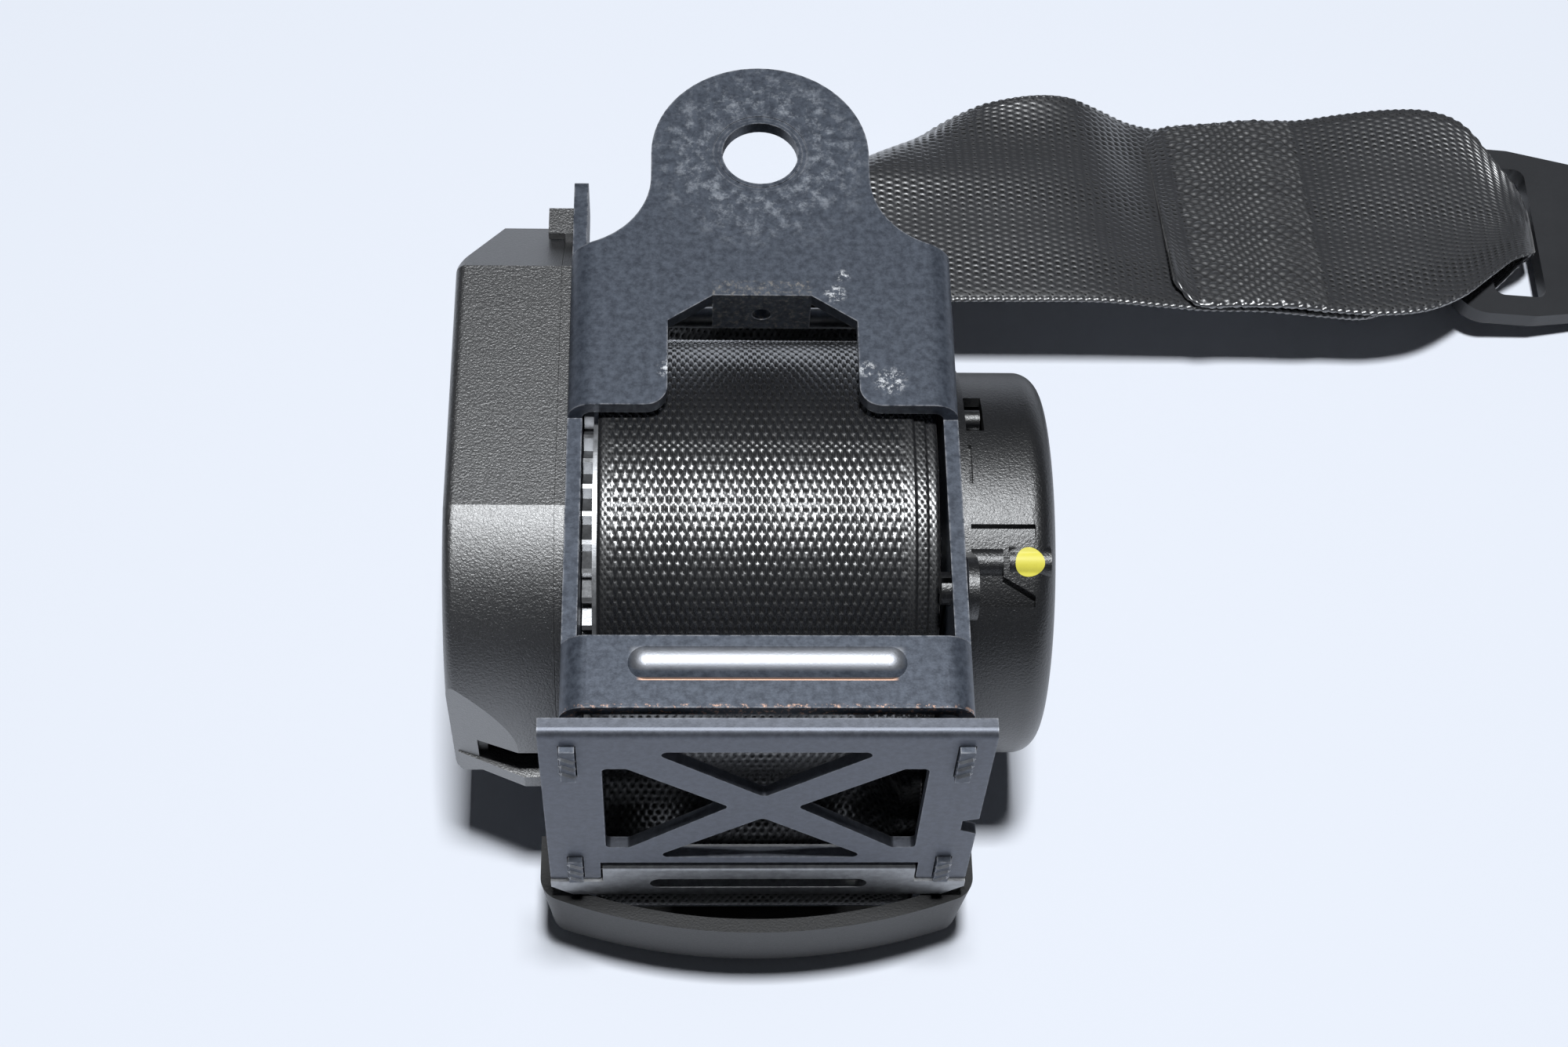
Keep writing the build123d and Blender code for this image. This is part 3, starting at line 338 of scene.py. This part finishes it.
def steel_material(name, dark, light, worn, roughness, wear, metallic=0.75):
    """Coated sheet steel: mottled coat, fine grain and edges rubbed through to the metal."""
    made, tree, shader = node_material(name)
    place = object_place(tree)
    mottle = noise(tree, place, 900, 6, 0.72)
    grain = noise(tree, place, 3800, 2, 0.6)
    coat = mix_colour(tree, ramp(tree, mottle, 0.3, 0.7), dark, light)
    patches = ramp(tree, noise(tree, place, 900, 4), 0.34, 0.62)
    rub = maths(tree, "MULTIPLY", edge_wear(tree, 0.5 * MM), patches)
    worn_share = maths(tree, "MULTIPLY", rub, wear)
    colour = mix_colour(tree, worn_share, coat, worn)
    tree.links.new(colour, shader.inputs["Base Color"])
    shader.inputs["Metallic"].default_value = metallic
    rough = maths(tree, "ADD", roughness - 0.06, maths(tree, "MULTIPLY", mottle, 0.16))
    tree.links.new(rough, shader.inputs["Roughness"])
    tree.links.new(bump(tree, grain, 0.02 * MM, 0.5), shader.inputs["Normal"])
    return made, tree, shader, place, colour


def frame_steel():
    """Dark bluish coat of the yoke, with pale smudges round the bolt hole, scratches on its arms and a worn
    lip, and painted highlights: a lighter band on the bead's far slope and copper-tinted lines along the
    bead's near edge and the crossbar's lower edge.
    """
    dark = rgb(0.048, 0.057, 0.076)
    light = rgb(0.105, 0.122, 0.155)
    worn = rgb(0.42, 0.42, 0.44)
    made, tree, shader, place, colour = steel_material("frame_steel", dark, light, worn, 0.42, 0.75, 0.4)
    split = add_node(tree, "ShaderNodeSeparateXYZ", Vector=place)
    reach = add_node(tree, "ShaderNodeVectorMath", {"operation": "LENGTH"}, i0=place).outputs["Value"]
    fading = maths(tree, "SUBTRACT", 1.0, ramp(tree, reach, 9 * MM, 19 * MM))
    ring = maths(tree, "MULTIPLY", ramp(tree, reach, 6.0 * MM, 8.0 * MM), fading)
    cloud = ramp(tree, noise(tree, place, 420, 7, 0.75), 0.47, 0.68)
    smudge = maths(tree, "MULTIPLY", ring, cloud)
    specks = ramp(tree, noise(tree, place, 1900, 3, 0.75), 0.66, 0.74)
    upper = ramp(tree, split.outputs["Y"], -34 * MM, -8 * MM)
    dust = maths(tree, "MULTIPLY", maths(tree, "MULTIPLY", specks, upper), 0.35)
    pale = maths(tree, "MAXIMUM", maths(tree, "MULTIPLY", smudge, 0.75), dust)
    face = ramp(tree, split.outputs["Z"], -1.2 * MM, -0.2 * MM)
    coated = mix_colour(tree, maths(tree, "MULTIPLY", pale, face), colour, rgb(0.42, 0.45, 0.50))
    scratched = maths(tree, "MULTIPLY", scratches(tree, place), face)
    coated = mix_colour(tree, scratched, coated, rgb(0.85, 0.87, 0.90))
    x = split.outputs["X"]
    y = split.outputs["Y"]
    fine = noise(tree, place, 1300, 5, 0.7)
    # Painted highlight: the bead's far slope is coloured a lighter grey, and made more metallic, where the
    # overhead light catches it
    bead_far = band(tree, y, BEAD_Y + 0.8 * MM, BEAD_SIDE - 1.4 * MM, 0.8 * MM)
    bead = maths(tree, "MULTIPLY", bead_far, band(tree, x, 0.0, BEAD_HALF - 1 * MM, 1 * MM))
    # Painted highlight: a thin bright copper-tinted line along the bead's near edge
    bead_near = band(tree, y, BEAD_Y - BEAD_SIDE + 0.1 * MM, 0.18 * MM, 0.12 * MM)
    copper_line = maths(tree, "MULTIPLY", bead_near, band(tree, x, 0.0, BEAD_HALF - 2 * MM, 1 * MM))
    # Painted highlight: a copper-tinted line along the crossbar's lower edge, broken up by noise
    crossbar_line = band(tree, y, CROSSBAR_EDGE, 0.35 * MM, 0.3 * MM)
    crossbar_glint = maths(tree, "MULTIPLY", crossbar_line, ramp(tree, fine, 0.52, 0.66))
    copper = maths(tree, "MAXIMUM", copper_line, maths(tree, "MULTIPLY", crossbar_glint, 0.8))
    lip_line = band(tree, y, LIP_Y, 1.3 * MM, 0.3 * MM)
    lip = maths(tree, "MULTIPLY", lip_line, band(tree, x, 0.0, LIP_HALF, 0.2 * MM))
    lip_rub = maths(tree, "MULTIPLY", lip, ramp(tree, fine, 0.46, 0.8))
    colour = mix_colour(tree, lip_rub, coated, rgb(0.42, 0.39, 0.35))
    colour = mix_colour(tree, bead, colour, rgb(0.27, 0.28, 0.305))
    colour = mix_colour(tree, copper, colour, rgb(0.80, 0.50, 0.36))
    tree.links.new(colour, shader.inputs["Base Color"])
    # More metallic where the lip is worn, and where the bead band and copper lines are painted highlights
    worn_and_highlit = maths(tree, "MAXIMUM", maths(tree, "MAXIMUM", bead, copper), maths(tree, "MULTIPLY", lip_rub, 0.8))
    tree.links.new(maths(tree, "ADD", 0.4, maths(tree, "MULTIPLY", worn_and_highlit, 0.55)), shader.inputs["Metallic"])
    return made


def scratches(tree, place):
    """Where the yoke's coat is scratched through, from 0 to 1."""
    share = 0.0
    for x, y, reach in SCRATCHES:
        spot = (x * MM, y * MM, 0)
        away = add_node(tree, "ShaderNodeVectorMath", {"operation": "DISTANCE"}, i0=place, i1=spot)
        near = ramp(tree, away.outputs["Value"], 0.2 * reach * MM, reach * MM)
        share = maths(tree, "MAXIMUM", share, maths(tree, "SUBTRACT", 1.0, near))
    grain = ramp(tree, noise(tree, place, 1100, 5, 0.8), 0.50, 0.60)
    return maths(tree, "MULTIPLY", share, grain)


def band(tree, value, middle, half, soft):
    """1 where a value lies within half of the middle, and a soft end on both sides."""
    away = maths(tree, "ABSOLUTE", maths(tree, "SUBTRACT", value, middle))
    return maths(tree, "SUBTRACT", 1.0, ramp(tree, away, half, half + soft))


def plain_steel(name, tone, roughness, wear, metallic=0.9):
    """Satin steel in one tone."""
    dark = rgb(*(0.8 * value for value in tone))
    light = rgb(*(1.15 * value for value in tone))
    return steel_material(name, dark, light, rgb(0.6, 0.6, 0.6), roughness, wear, metallic)[0]


def moulded_plastic(name, tone, roughness, grain_size, depth, gloss=0.5, coat=0.0, ior=1.5):
    """Moulded plastic with an etched grain."""
    made, tree, shader = node_material(name)
    place = object_place(tree)
    spark = noise(tree, place, 1 / grain_size, 2, 0.7)
    cloud = noise(tree, place, 90, 4, 0.6)
    dark = rgb(*(0.82 * value for value in tone))
    light = rgb(*(1.3 * value for value in tone))
    tree.links.new(mix_colour(tree, cloud, dark, light), shader.inputs["Base Color"])
    shader.inputs["Specular IOR Level"].default_value = gloss
    shader.inputs["Coat Weight"].default_value = coat
    shader.inputs["Coat Roughness"].default_value = 0.46
    shader.inputs["IOR"].default_value = ior
    rough = maths(tree, "ADD", roughness - 0.05, maths(tree, "MULTIPLY", spark, 0.12))
    tree.links.new(rough, shader.inputs["Roughness"])
    tree.links.new(bump(tree, spark, depth, 0.8), shader.inputs["Normal"])
    return made


def webbing_material(name, dark, light, roughness, sheen, coat):
    """Black polyester yarn: glossy floats with fine filaments along them, and dull gaps between, whose colour
    goes to near black as painted shade.
    """
    made, tree, shader = node_material(name)
    fabric = add_node(tree, "ShaderNodeAttribute", {"attribute_name": "fabric"}).outputs["Vector"]
    stretch = add_node(tree, "ShaderNodeVectorMath", {"operation": "MULTIPLY"}, i0=fabric, i1=(1, 0.12, 0))
    stretched = stretch.outputs[0]
    fibre = noise(tree, stretched, 9000, 3, 0.7)
    cloud = noise(tree, stretched, 160, 3, 0.6)
    lift = ramp(tree, add_node(tree, "ShaderNodeSeparateXYZ", Vector=fabric).outputs["Z"], 0.25, 0.75)
    tone = mix_colour(tree, cloud, dark, light)
    # Painted shade: where the weave is low, between the floats, the colour goes to near black
    tree.links.new(mix_colour(tree, lift, rgb(0.002, 0.002, 0.0025), tone), shader.inputs["Base Color"])
    rough = maths(tree, "ADD", roughness, maths(tree, "MULTIPLY", fibre, 0.16))
    low = maths(tree, "SUBTRACT", 1.0, lift)
    tree.links.new(maths(tree, "ADD", rough, maths(tree, "MULTIPLY", low, 0.4)), shader.inputs["Roughness"])
    gloss = maths(tree, "ADD", 0.15, maths(tree, "MULTIPLY", lift, 0.85))
    tree.links.new(gloss, shader.inputs["Specular IOR Level"])
    glint = ramp(tree, noise(tree, fabric, 620, 1, 0.5), 0.22, 0.52)
    coat_share = maths(tree, "MULTIPLY", maths(tree, "MULTIPLY", lift, glint), coat)
    tree.links.new(coat_share, shader.inputs["Coat Weight"])
    shader.inputs["Coat Roughness"].default_value = 0.2
    shader.inputs["IOR"].default_value = 1.8
    shader.inputs["Sheen Weight"].default_value = sheen
    shader.inputs["Sheen Roughness"].default_value = 0.5
    tree.links.new(bump(tree, fibre, 0.03 * MM, 0.7), shader.inputs["Normal"])
    return made


def flat_paint(name, tone, roughness):
    """A dab of paint."""
    made, tree, shader = node_material(name)
    place = object_place(tree)
    mottle = noise(tree, place, 1500, 3, 0.6)
    dark = rgb(*(0.88 * value for value in tone))
    tree.links.new(mix_colour(tree, mottle, dark, rgb(*tone)), shader.inputs["Base Color"])
    rough = maths(tree, "ADD", roughness, maths(tree, "MULTIPLY", mottle, 0.1))
    tree.links.new(rough, shader.inputs["Roughness"])
    return made


def paint_nodes(material, *nodes):
    """Gives CAD nodes a material."""
    for name in nodes:
        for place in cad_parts[name].material_slots:
            place.material = material


def wound_roll():
    """The wound webbing: woven outer turn, under-turns peeping out on the right, and layered ends."""
    step_across = 0.2 * MM
    count_along = 920
    around = np.linspace(0, 2 * math.pi, count_along, endpoint=False)
    skin = np.arange(ROLL_LEFT, ROLL_RIGHT + step_across / 2, step_across)
    shelf = sum(fall * MM * smooth_step(skin, x * MM, (x + 0.2) * MM) for x, fall in UNDER_TURNS)
    along = around * ROLL_RADIUS
    grid_across, grid_along = np.meshgrid(skin, along)
    woven = weave(grid_across - TOP_TURN_MIDDLE, grid_along, TOP_TURN_HALF, 0.6)
    relief = woven * RELIEF * 1.6
    rim = np.minimum(skin - ROLL_LEFT, ROLL_RIGHT - skin)
    drop = 0.45 * MM * (1 - np.sqrt(np.clip(rim / (0.6 * MM), 0, 1)))
    radius = ROLL_RADIUS - 1.6 * RELIEF - shelf[None, :] - drop[None, :] + relief
    turns = np.arange(ROLL_RADIUS - 1.6 * MM, CORE_RADIUS, -0.3 * MM)
    groove = 0.28 * MM * (1 - np.abs(np.sin(math.pi * turns / (1.2 * MM))))
    shift = 0.25 * MM * np.sin(turns / MM * 1.7)
    left_x = ROLL_LEFT + groove + np.clip(shift, 0, 1)
    right_x = ROLL_RIGHT - groove + np.clip(-shift, -1, 0)
    line_x = np.concatenate([left_x[::-1], skin, right_x])
    ends = np.ones((count_along, 1))
    lines = np.concatenate([ends * turns[::-1], radius, ends * turns], axis=1)
    points = np.empty(lines.shape + (3,))
    points[..., 0] = line_x
    points[..., 1] = SPOOL_Y + lines * np.sin(around)[:, None]
    points[..., 2] = SPOOL_Z + lines * np.cos(around)[:, None]
    fabric = np.zeros(points.shape)
    fabric[..., 0] = line_x + lines
    fabric[..., 1] = along[:, None]
    # The weave height goes to fabric's third part, which the yarn material turns into painted shade between
    # floats; the roll's layered ends keep 0 and are painted dark in full
    fabric[:, len(turns) : len(turns) + len(skin), 2] = woven
    piece = grid_object("wound_webbing", points[:, ::-1], fabric[:, ::-1], loop_across=True, loop_along=True)
    piece.data.materials.append(webbing)
    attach(piece, "spool")
    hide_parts("webbing_roll")


def strap_centre(step):
    """Rows of the free webbing's middle line, from the roll down to the table, as Y and height from the
    spool's axis, spaced by step.
    """
    start_angle = math.radians(52)
    hug = ROLL_RADIUS + 0.9 * MM
    wrap = [(-hug * math.sin(a), hug * math.cos(a)) for a in np.linspace(start_angle, math.pi / 2, 24)]
    corners = np.array([(-32.9, 0), (-32.9, -2), (-39.3, -22), (-39.3, -35.3), (0, -35.3)]) * MM
    down = rounded_path(corners, [5 * MM, 6 * MM, 3.2 * MM], step)
    return even_points(np.vstack([wrap[:-1], down]), step)


# Path of the upper run, under the bar, through the slot and back as the sewn tail. Each row holds X and
# height over the table in mm, how far the near edge stands over the middle in mm, and what share of
# its flat width the near and the far half keep
RUN_ROWS = [
    (-40, 16.7, 0, 1, 1),
    (-20, 16.7, 0, 1, 1),
    (0, 16.7, 0, 1, 1),
    (16, 16.8, 0.4, 1, 1),
    (31, 16.4, 1.8, 1, 1),
    (45, 16.4, 2.0, 1, 1),
    (57, 15.2, 3.2, 1, 1),
    (67, 11.6, 5.6, 1, 1),
    (75, 10.2, 6.0, 1, 1),
    (84, 10.8, 5.2, 1, 1),
    (94, 10.2, 4.4, 1, 1),
    (102, 8.2, 3.0, 0.92, 0.92),
    (109, 5.4, 1.4, 0.7, 0.7),
    (115, 3.2, 0.3, 0.5, 0.5),
    (121, 2.4, 0, 0.48, 0.48),
    (127, 2.6, 0, 0.42, 0.42),
    (132, 4.2, 0, 0.24, 0.22),
    (134, 6.6, 0, 0.2, 0.12),
    (132.4, 9.0, 0, 0.28, 0.3),
    (129, 10.6, 0, 0.38, 0.52),
    (124.5, 11.4, 0.2, 0.55, 0.84),
    (119, 12.0, 0.8, 0.76, 0.97),
    (112, 12.4, 1.8, 0.93, 1),
    (104, 12.2, 3.0, 1, 1),
    (96, 11.6, 4.3, 1, 1),
    (88, 12.2, 5.0, 1, 1),
    (80, 11.7, 5.7, 1, 1),
    (73, 11.6, 6.1, 1, 0.98),
    (69.5, 12.0, 5.8, 0.8, 0.84),
]
PATCH_START = 4.5 * MM
PATCH_END = 25 * MM


def free_strap():
    """The free webbing: off the roll, through the guide, under the roll, folded, and sewn round the bar."""
    step = STRAP_STEP
    half = WEB_WIDTH / 2
    first = strap_centre(step)
    first_end = first[-1, 0]
    lower_length = STRAP_MID - RUN_START - first_end
    lower_count = int(round(lower_length / step))
    lower_y = first_end + np.arange(1, lower_count + 1) * step
    run = spline_points([(x * MM, z * MM, lean * MM, near, far) for x, z, lean, near, far in RUN_ROWS], step)
    across = np.linspace(-half, half, int(round(WEB_WIDTH / step)) + 1)

    rows = []
    level = np.ones_like(across)
    for y, h in first:
        rows.append(np.stack([across, (SPOOL_Y + y) * level, (SPOOL_Z + h) * level], axis=-1))
    for y in lower_y:
        rows.append(folded_row(across, y))
    for place in run[1:]:
        rows.append(run_row(across, *place))
    centre = np.stack(rows)
    along = np.arange(len(centre)) * step
    blend_fold(centre, len(first) + lower_count, across)
    flatten_corner(centre)
    print("webbing length", round(float(along[-1]), 4))

    d_across = np.gradient(centre, axis=1)
    d_along = np.gradient(centre, axis=0)
    normal = np.cross(d_across, d_along)
    normal /= np.linalg.norm(normal, axis=-1, keepdims=True)
    grid_across, grid_along = np.meshgrid(across, along)
    rim = np.clip((half - np.abs(grid_across)) / (0.5 * MM), 0, 1)
    bead = 0.5 + 0.5 * np.abs(np.sin(math.pi * grid_along / (CELL_ALONG / 2)))
    edge_share = smooth_step(np.abs(grid_across), half - 1.3 * MM, half - 0.6 * MM)
    body = WEB_THICKNESS / 2 * np.sqrt(1 - (1 - rim) ** 2) * (1 - edge_share + edge_share * bead)
    woven = weave(grid_across, grid_along, half, 0.68)
    relief = (woven - 1) * RELIEF * 2.0
    left = along[-1] - grid_along
    sewn = smooth_step(left, PATCH_START - 1 * MM, PATCH_START)
    sewn = sewn * (1 - smooth_step(left, PATCH_END, PATCH_END + 1 * MM))
    wander = 0.5 * MM * np.sin(grid_along / (2.3 * MM)) + 0.4 * MM * np.sin(grid_across / (1.7 * MM))
    stitches = float_pattern(grid_across + wander, grid_along - wander, 1.9 * MM, 2.2 * MM)
    relief = relief * (1 - sewn) + (stitches - 0.7) * 0.55 * MM * sewn
    # lift is the weave height the yarn material reads: where it is low the material paints shade near black,
    # so the gaps between floats and part of the sewn patch are painted dark, and the edges are kept clear of
    # it
    lift = woven * (1 - sewn) + (0.3 + 0.3 * stitches) * sewn
    lift = np.maximum(lift, edge_share)
    front = centre + normal * (body + relief * rim)[..., None]
    back = centre - normal * (body + relief * rim)[..., None]
    points = np.concatenate([front, back[:, -2:0:-1]], axis=1)
    fabric = np.zeros(points.shape)
    fabric[..., 0] = np.concatenate([across, across[-2:0:-1] + 0.1])[None, :]
    fabric[..., 1] = along[:, None]
    fabric[..., 2] = np.concatenate([lift, lift[:, -2:0:-1]], axis=1)
    piece = grid_object("free_webbing", points, fabric, loop_across=True, caps=True)
    # The strap takes the lightened copy of the yarn, which is painted light
    piece.data.materials.append(lightened_strap_webbing)
    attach(piece, "retractor")
    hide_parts("belt_strap")


def folded_row(across, flat_y):
    """One row of the lower run, which turns over the fold where it passes the fold line."""
    beyond = (flat_y - across - FOLD_LINE) / math.sqrt(2)
    past = np.clip(beyond, 0, None)
    foot_x = across + past / math.sqrt(2)
    foot_y = flat_y - past / math.sqrt(2)
    angle = np.clip(past / FOLD_RADIUS, 0, math.pi)
    flat_after = np.clip(past - math.pi * FOLD_RADIUS, 0, None)
    out = FOLD_RADIUS * np.sin(angle) - flat_after
    x = foot_x - out / math.sqrt(2)
    y = foot_y + out / math.sqrt(2)
    z = TABLE_Z + STRAP_LOW + FOLD_RADIUS * (1 - np.cos(angle))
    return np.stack([x, SPOOL_Y + y, z], axis=-1)


def run_row(across, x, z, lean, near, far):
    """One row of the upper run at X and a height over the table, leaning and gathered as it's told."""
    half = WEB_WIDTH / 2
    kept = across * np.where(across < 0, near, far)
    height = z - lean * across / half
    return np.stack([np.full_like(across, x), SPOOL_Y + STRAP_MID + kept, TABLE_Z + height], axis=-1)


def blend_fold(centre, seam, across):
    """Rows after the seam keep the fold's shape where their edge is still on it."""
    for row in range(seam, min(seam + int(BLEND_LENGTH / STRAP_STEP), len(centre))):
        flat_y = STRAP_MID - RUN_START + (row - seam + 1) * STRAP_STEP
        folded = folded_row(across, flat_y)
        beyond = (flat_y - across - FOLD_LINE) / math.sqrt(2) - math.pi * FOLD_RADIUS
        share = smooth_step(beyond, 0.0, FOLD_BLEND)
        centre[row] = folded * (1 - share)[:, None] + centre[row] * share[:, None]


def flatten_corner(centre):
    """The fold's far corner lies flatter than its near side, and is rounded in plan."""
    half = WEB_WIDTH / 2
    count = centre.shape[1]
    far = smooth_step(np.linspace(-half, half, count), 2 * MM, half)
    height = centre[..., 2] - TABLE_Z
    x = centre[..., 0]
    dip = np.interp(x, np.array([12, 20, 30, 40, 56]) * MM, [0, 0.42, 0.42, 0.2, 0])
    top = smooth_step(height, 2 * MM, 9 * MM) * (x > 0)
    centre[..., 2] = TABLE_Z + height * (1 - dip * far[None, :] * top)
    reach = (centre[..., :2] - CORNER) @ CORNER_WAY
    pull = CORNER_TRIM * smooth_step(reach, -10 * MM, 1 * MM)
    centre[..., :2] -= pull[..., None] * CORNER_WAY


def paint_dot():
    """A round dab of yellow paint that follows the drum's surface."""
    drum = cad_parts["spring_cover"]
    surface = BVHTree.FromObject(drum, bpy.context.evaluated_depsgraph_get())
    to_frame = drum.matrix_world
    to_drum = to_frame.inverted()
    outward = Vector((0, math.cos(DOT_TURN), math.sin(DOT_TURN)))
    aside = Vector((0, -math.sin(DOT_TURN), math.cos(DOT_TURN)))
    middle = Vector((DOT_X, SPOOL_Y, SPOOL_Z)) + outward * (DRUM_RADIUS + 5 * MM)
    rings, spokes = 12, 40
    rows = []
    for ring in range(rings + 1):
        row = []
        for spoke in range(spokes):
            turn = 2 * math.pi * spoke / spokes
            reach = DOT_RADIUS * max(ring, 0.02) / rings * (1 + 0.03 * math.sin(3 * turn + 1))
            start = middle + Vector((reach * math.cos(turn), 0, 0)) + aside * (reach * math.sin(turn))
            aim = to_drum.to_3x3() @ -outward
            spot = surface.ray_cast(to_drum @ start, aim.normalized())[0]
            row.append(to_frame @ spot + outward * 0.05 * MM)
        rows.append(row)
    piece = grid_object("paint_dot", np.array(rows), loop_across=True)
    piece.data.materials.append(yellow)
    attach(piece, "retractor")


def stake_marks():
    """Three chisel marks across each staked tenon."""
    verts = []
    faces = []
    for side in (-1, 1):
        for height in TENON_HEIGHTS:
            for place in (-MARK_PITCH, 0, MARK_PITCH):
                lean = MARK_LEAN * side
                along = Vector((math.cos(lean), 0, math.sin(lean)))
                over = Vector((-math.sin(lean), 0, math.cos(lean)))
                middle = Vector((side * TENON_X, TENON_FACE, height + place))
                first = len(verts)
                for end in (-MARK_HALF, MARK_HALF):
                    verts.append(middle + along * end - over * MARK_SIDE + Vector((0, MARK_ROOT, 0)))
                    verts.append(middle + along * end * 0.8 + Vector((0, MARK_CREST, 0)))
                    verts.append(middle + along * end + over * MARK_SIDE + Vector((0, MARK_ROOT, 0)))
                a, b, c, d, e, f = range(first, first + 6)
                faces += [(a, b, e, d), (b, c, f, e), (c, a, d, f), (a, c, b), (d, e, f)]
    mesh = bpy.data.meshes.new("stake_marks")
    mesh.from_pydata(verts, [], faces)
    piece = bpy.data.objects.new("stake_marks", mesh)
    bpy.context.collection.objects.link(piece)
    mesh.materials.append(bright)
    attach(piece, "retractor")


def main_scene():
    """Floor, light and world."""
    scene = bpy.context.scene
    scene.view_settings.view_transform = "Standard"
    bpy.ops.mesh.primitive_plane_add(size=6, location=(0, 0, TABLE_Z))
    floor = bpy.context.object
    floor.name = "floor"
    made, tree, shader = node_material("pale_floor")
    shader.inputs["Roughness"].default_value = 0.7
    shader.inputs["Specular IOR Level"].default_value = 0.1
    shader.inputs["Base Color"].default_value = rgb(0.83, 0.86, 0.93)
    floor.data.materials.append(made)
    world = bpy.data.worlds.new("world")
    world.use_nodes = True
    scene.world = world
    background = world.node_tree.nodes["Background"]
    background.inputs["Color"].default_value = rgb(0.86, 0.91, 1.0)
    background.inputs["Strength"].default_value = 0.04
    below = (LAMP_PLACE[0], LAMP_PLACE[1], 0)
    area_light("overhead", LAMP_PLACE, below, LAMP_SIZE, LAMP_POWER, (0.95, 0.975, 1.0))


make_camera()
main_scene()

yoke = frame_steel()
plate = plain_steel("plate_steel", (0.13, 0.14, 0.166), 0.46, 0.25, 0.7)
bright = plain_steel("bright_steel", (0.32, 0.325, 0.335), 0.36, 0.3)
spool_metal = plain_steel("spool_metal", (0.55, 0.56, 0.58), 0.33, 0.2)
anchor_steel = moulded_plastic("anchor_coat", (0.030, 0.031, 0.034), 0.42, 0.5 * MM, 0.02 * MM)
shell = moulded_plastic("moulded_shell", (0.004, 0.0042, 0.0052), 0.40, 0.34 * MM, 0.14 * MM, 1.0, 1.0, 1.7)
drum_shell = moulded_plastic("drum_shell", (0.004, 0.0042, 0.0052), 0.38, 0.34 * MM, 0.11 * MM, 1.0, 0.4)
guide_plastic = moulded_plastic("guide_plastic", (0.002, 0.0021, 0.0028), 0.45, 0.3 * MM, 0.03 * MM, 0.35)
bush = moulded_plastic("bush_plastic", (0.35, 0.34, 0.31), 0.5, 0.4 * MM, 0.02 * MM)
yarn_dark, yarn_light = rgb(0.006, 0.0062, 0.0075), rgb(0.015, 0.0155, 0.018)
webbing = webbing_material("webbing_yarn", yarn_dark, yarn_light, 0.15, 0.05, 1.0)
yellow = flat_paint("yellow_paint", (0.86, 0.78, 0.10), 0.45)
# Painted light: the free strap's yarn is a lighter copy of the roll's, standing in for the broad light its
# surface catches; it is also rougher and has more sheen
lightened_strap_dark, lightened_strap_light = rgb(0.012, 0.0125, 0.015), rgb(0.028, 0.029, 0.034)
lightened_strap_webbing = webbing_material("lightened_strap_webbing_yarn", lightened_strap_dark, lightened_strap_light, 0.28, 0.3, 1.0)

paint_nodes(yoke, "retractor_frame")
paint_nodes(plate, "tie_plate")
paint_nodes(bright, "lower_plate", "lock_ratchet", "lock_pawl", "pawl_pin", "rear_tie_rod", "sensor_ball")
paint_nodes(bright, "mainspring")
paint_nodes(spool_metal, "spool_core", "torsion_bar", "spring_arbor")
paint_nodes(anchor_steel, "anchor_plate")
paint_nodes(shell, "sensor_base", "sensor_cover")
paint_nodes(drum_shell, "spring_base", "spring_cover", "snap_pegs")
paint_nodes(guide_plastic, "webbing_guide", "sensor_lever", "sensor_seat")
paint_nodes(bush, "left_bush", "right_bush", "inertia_wheel")

wound_roll()
free_strap()
paint_dot()
stake_marks()
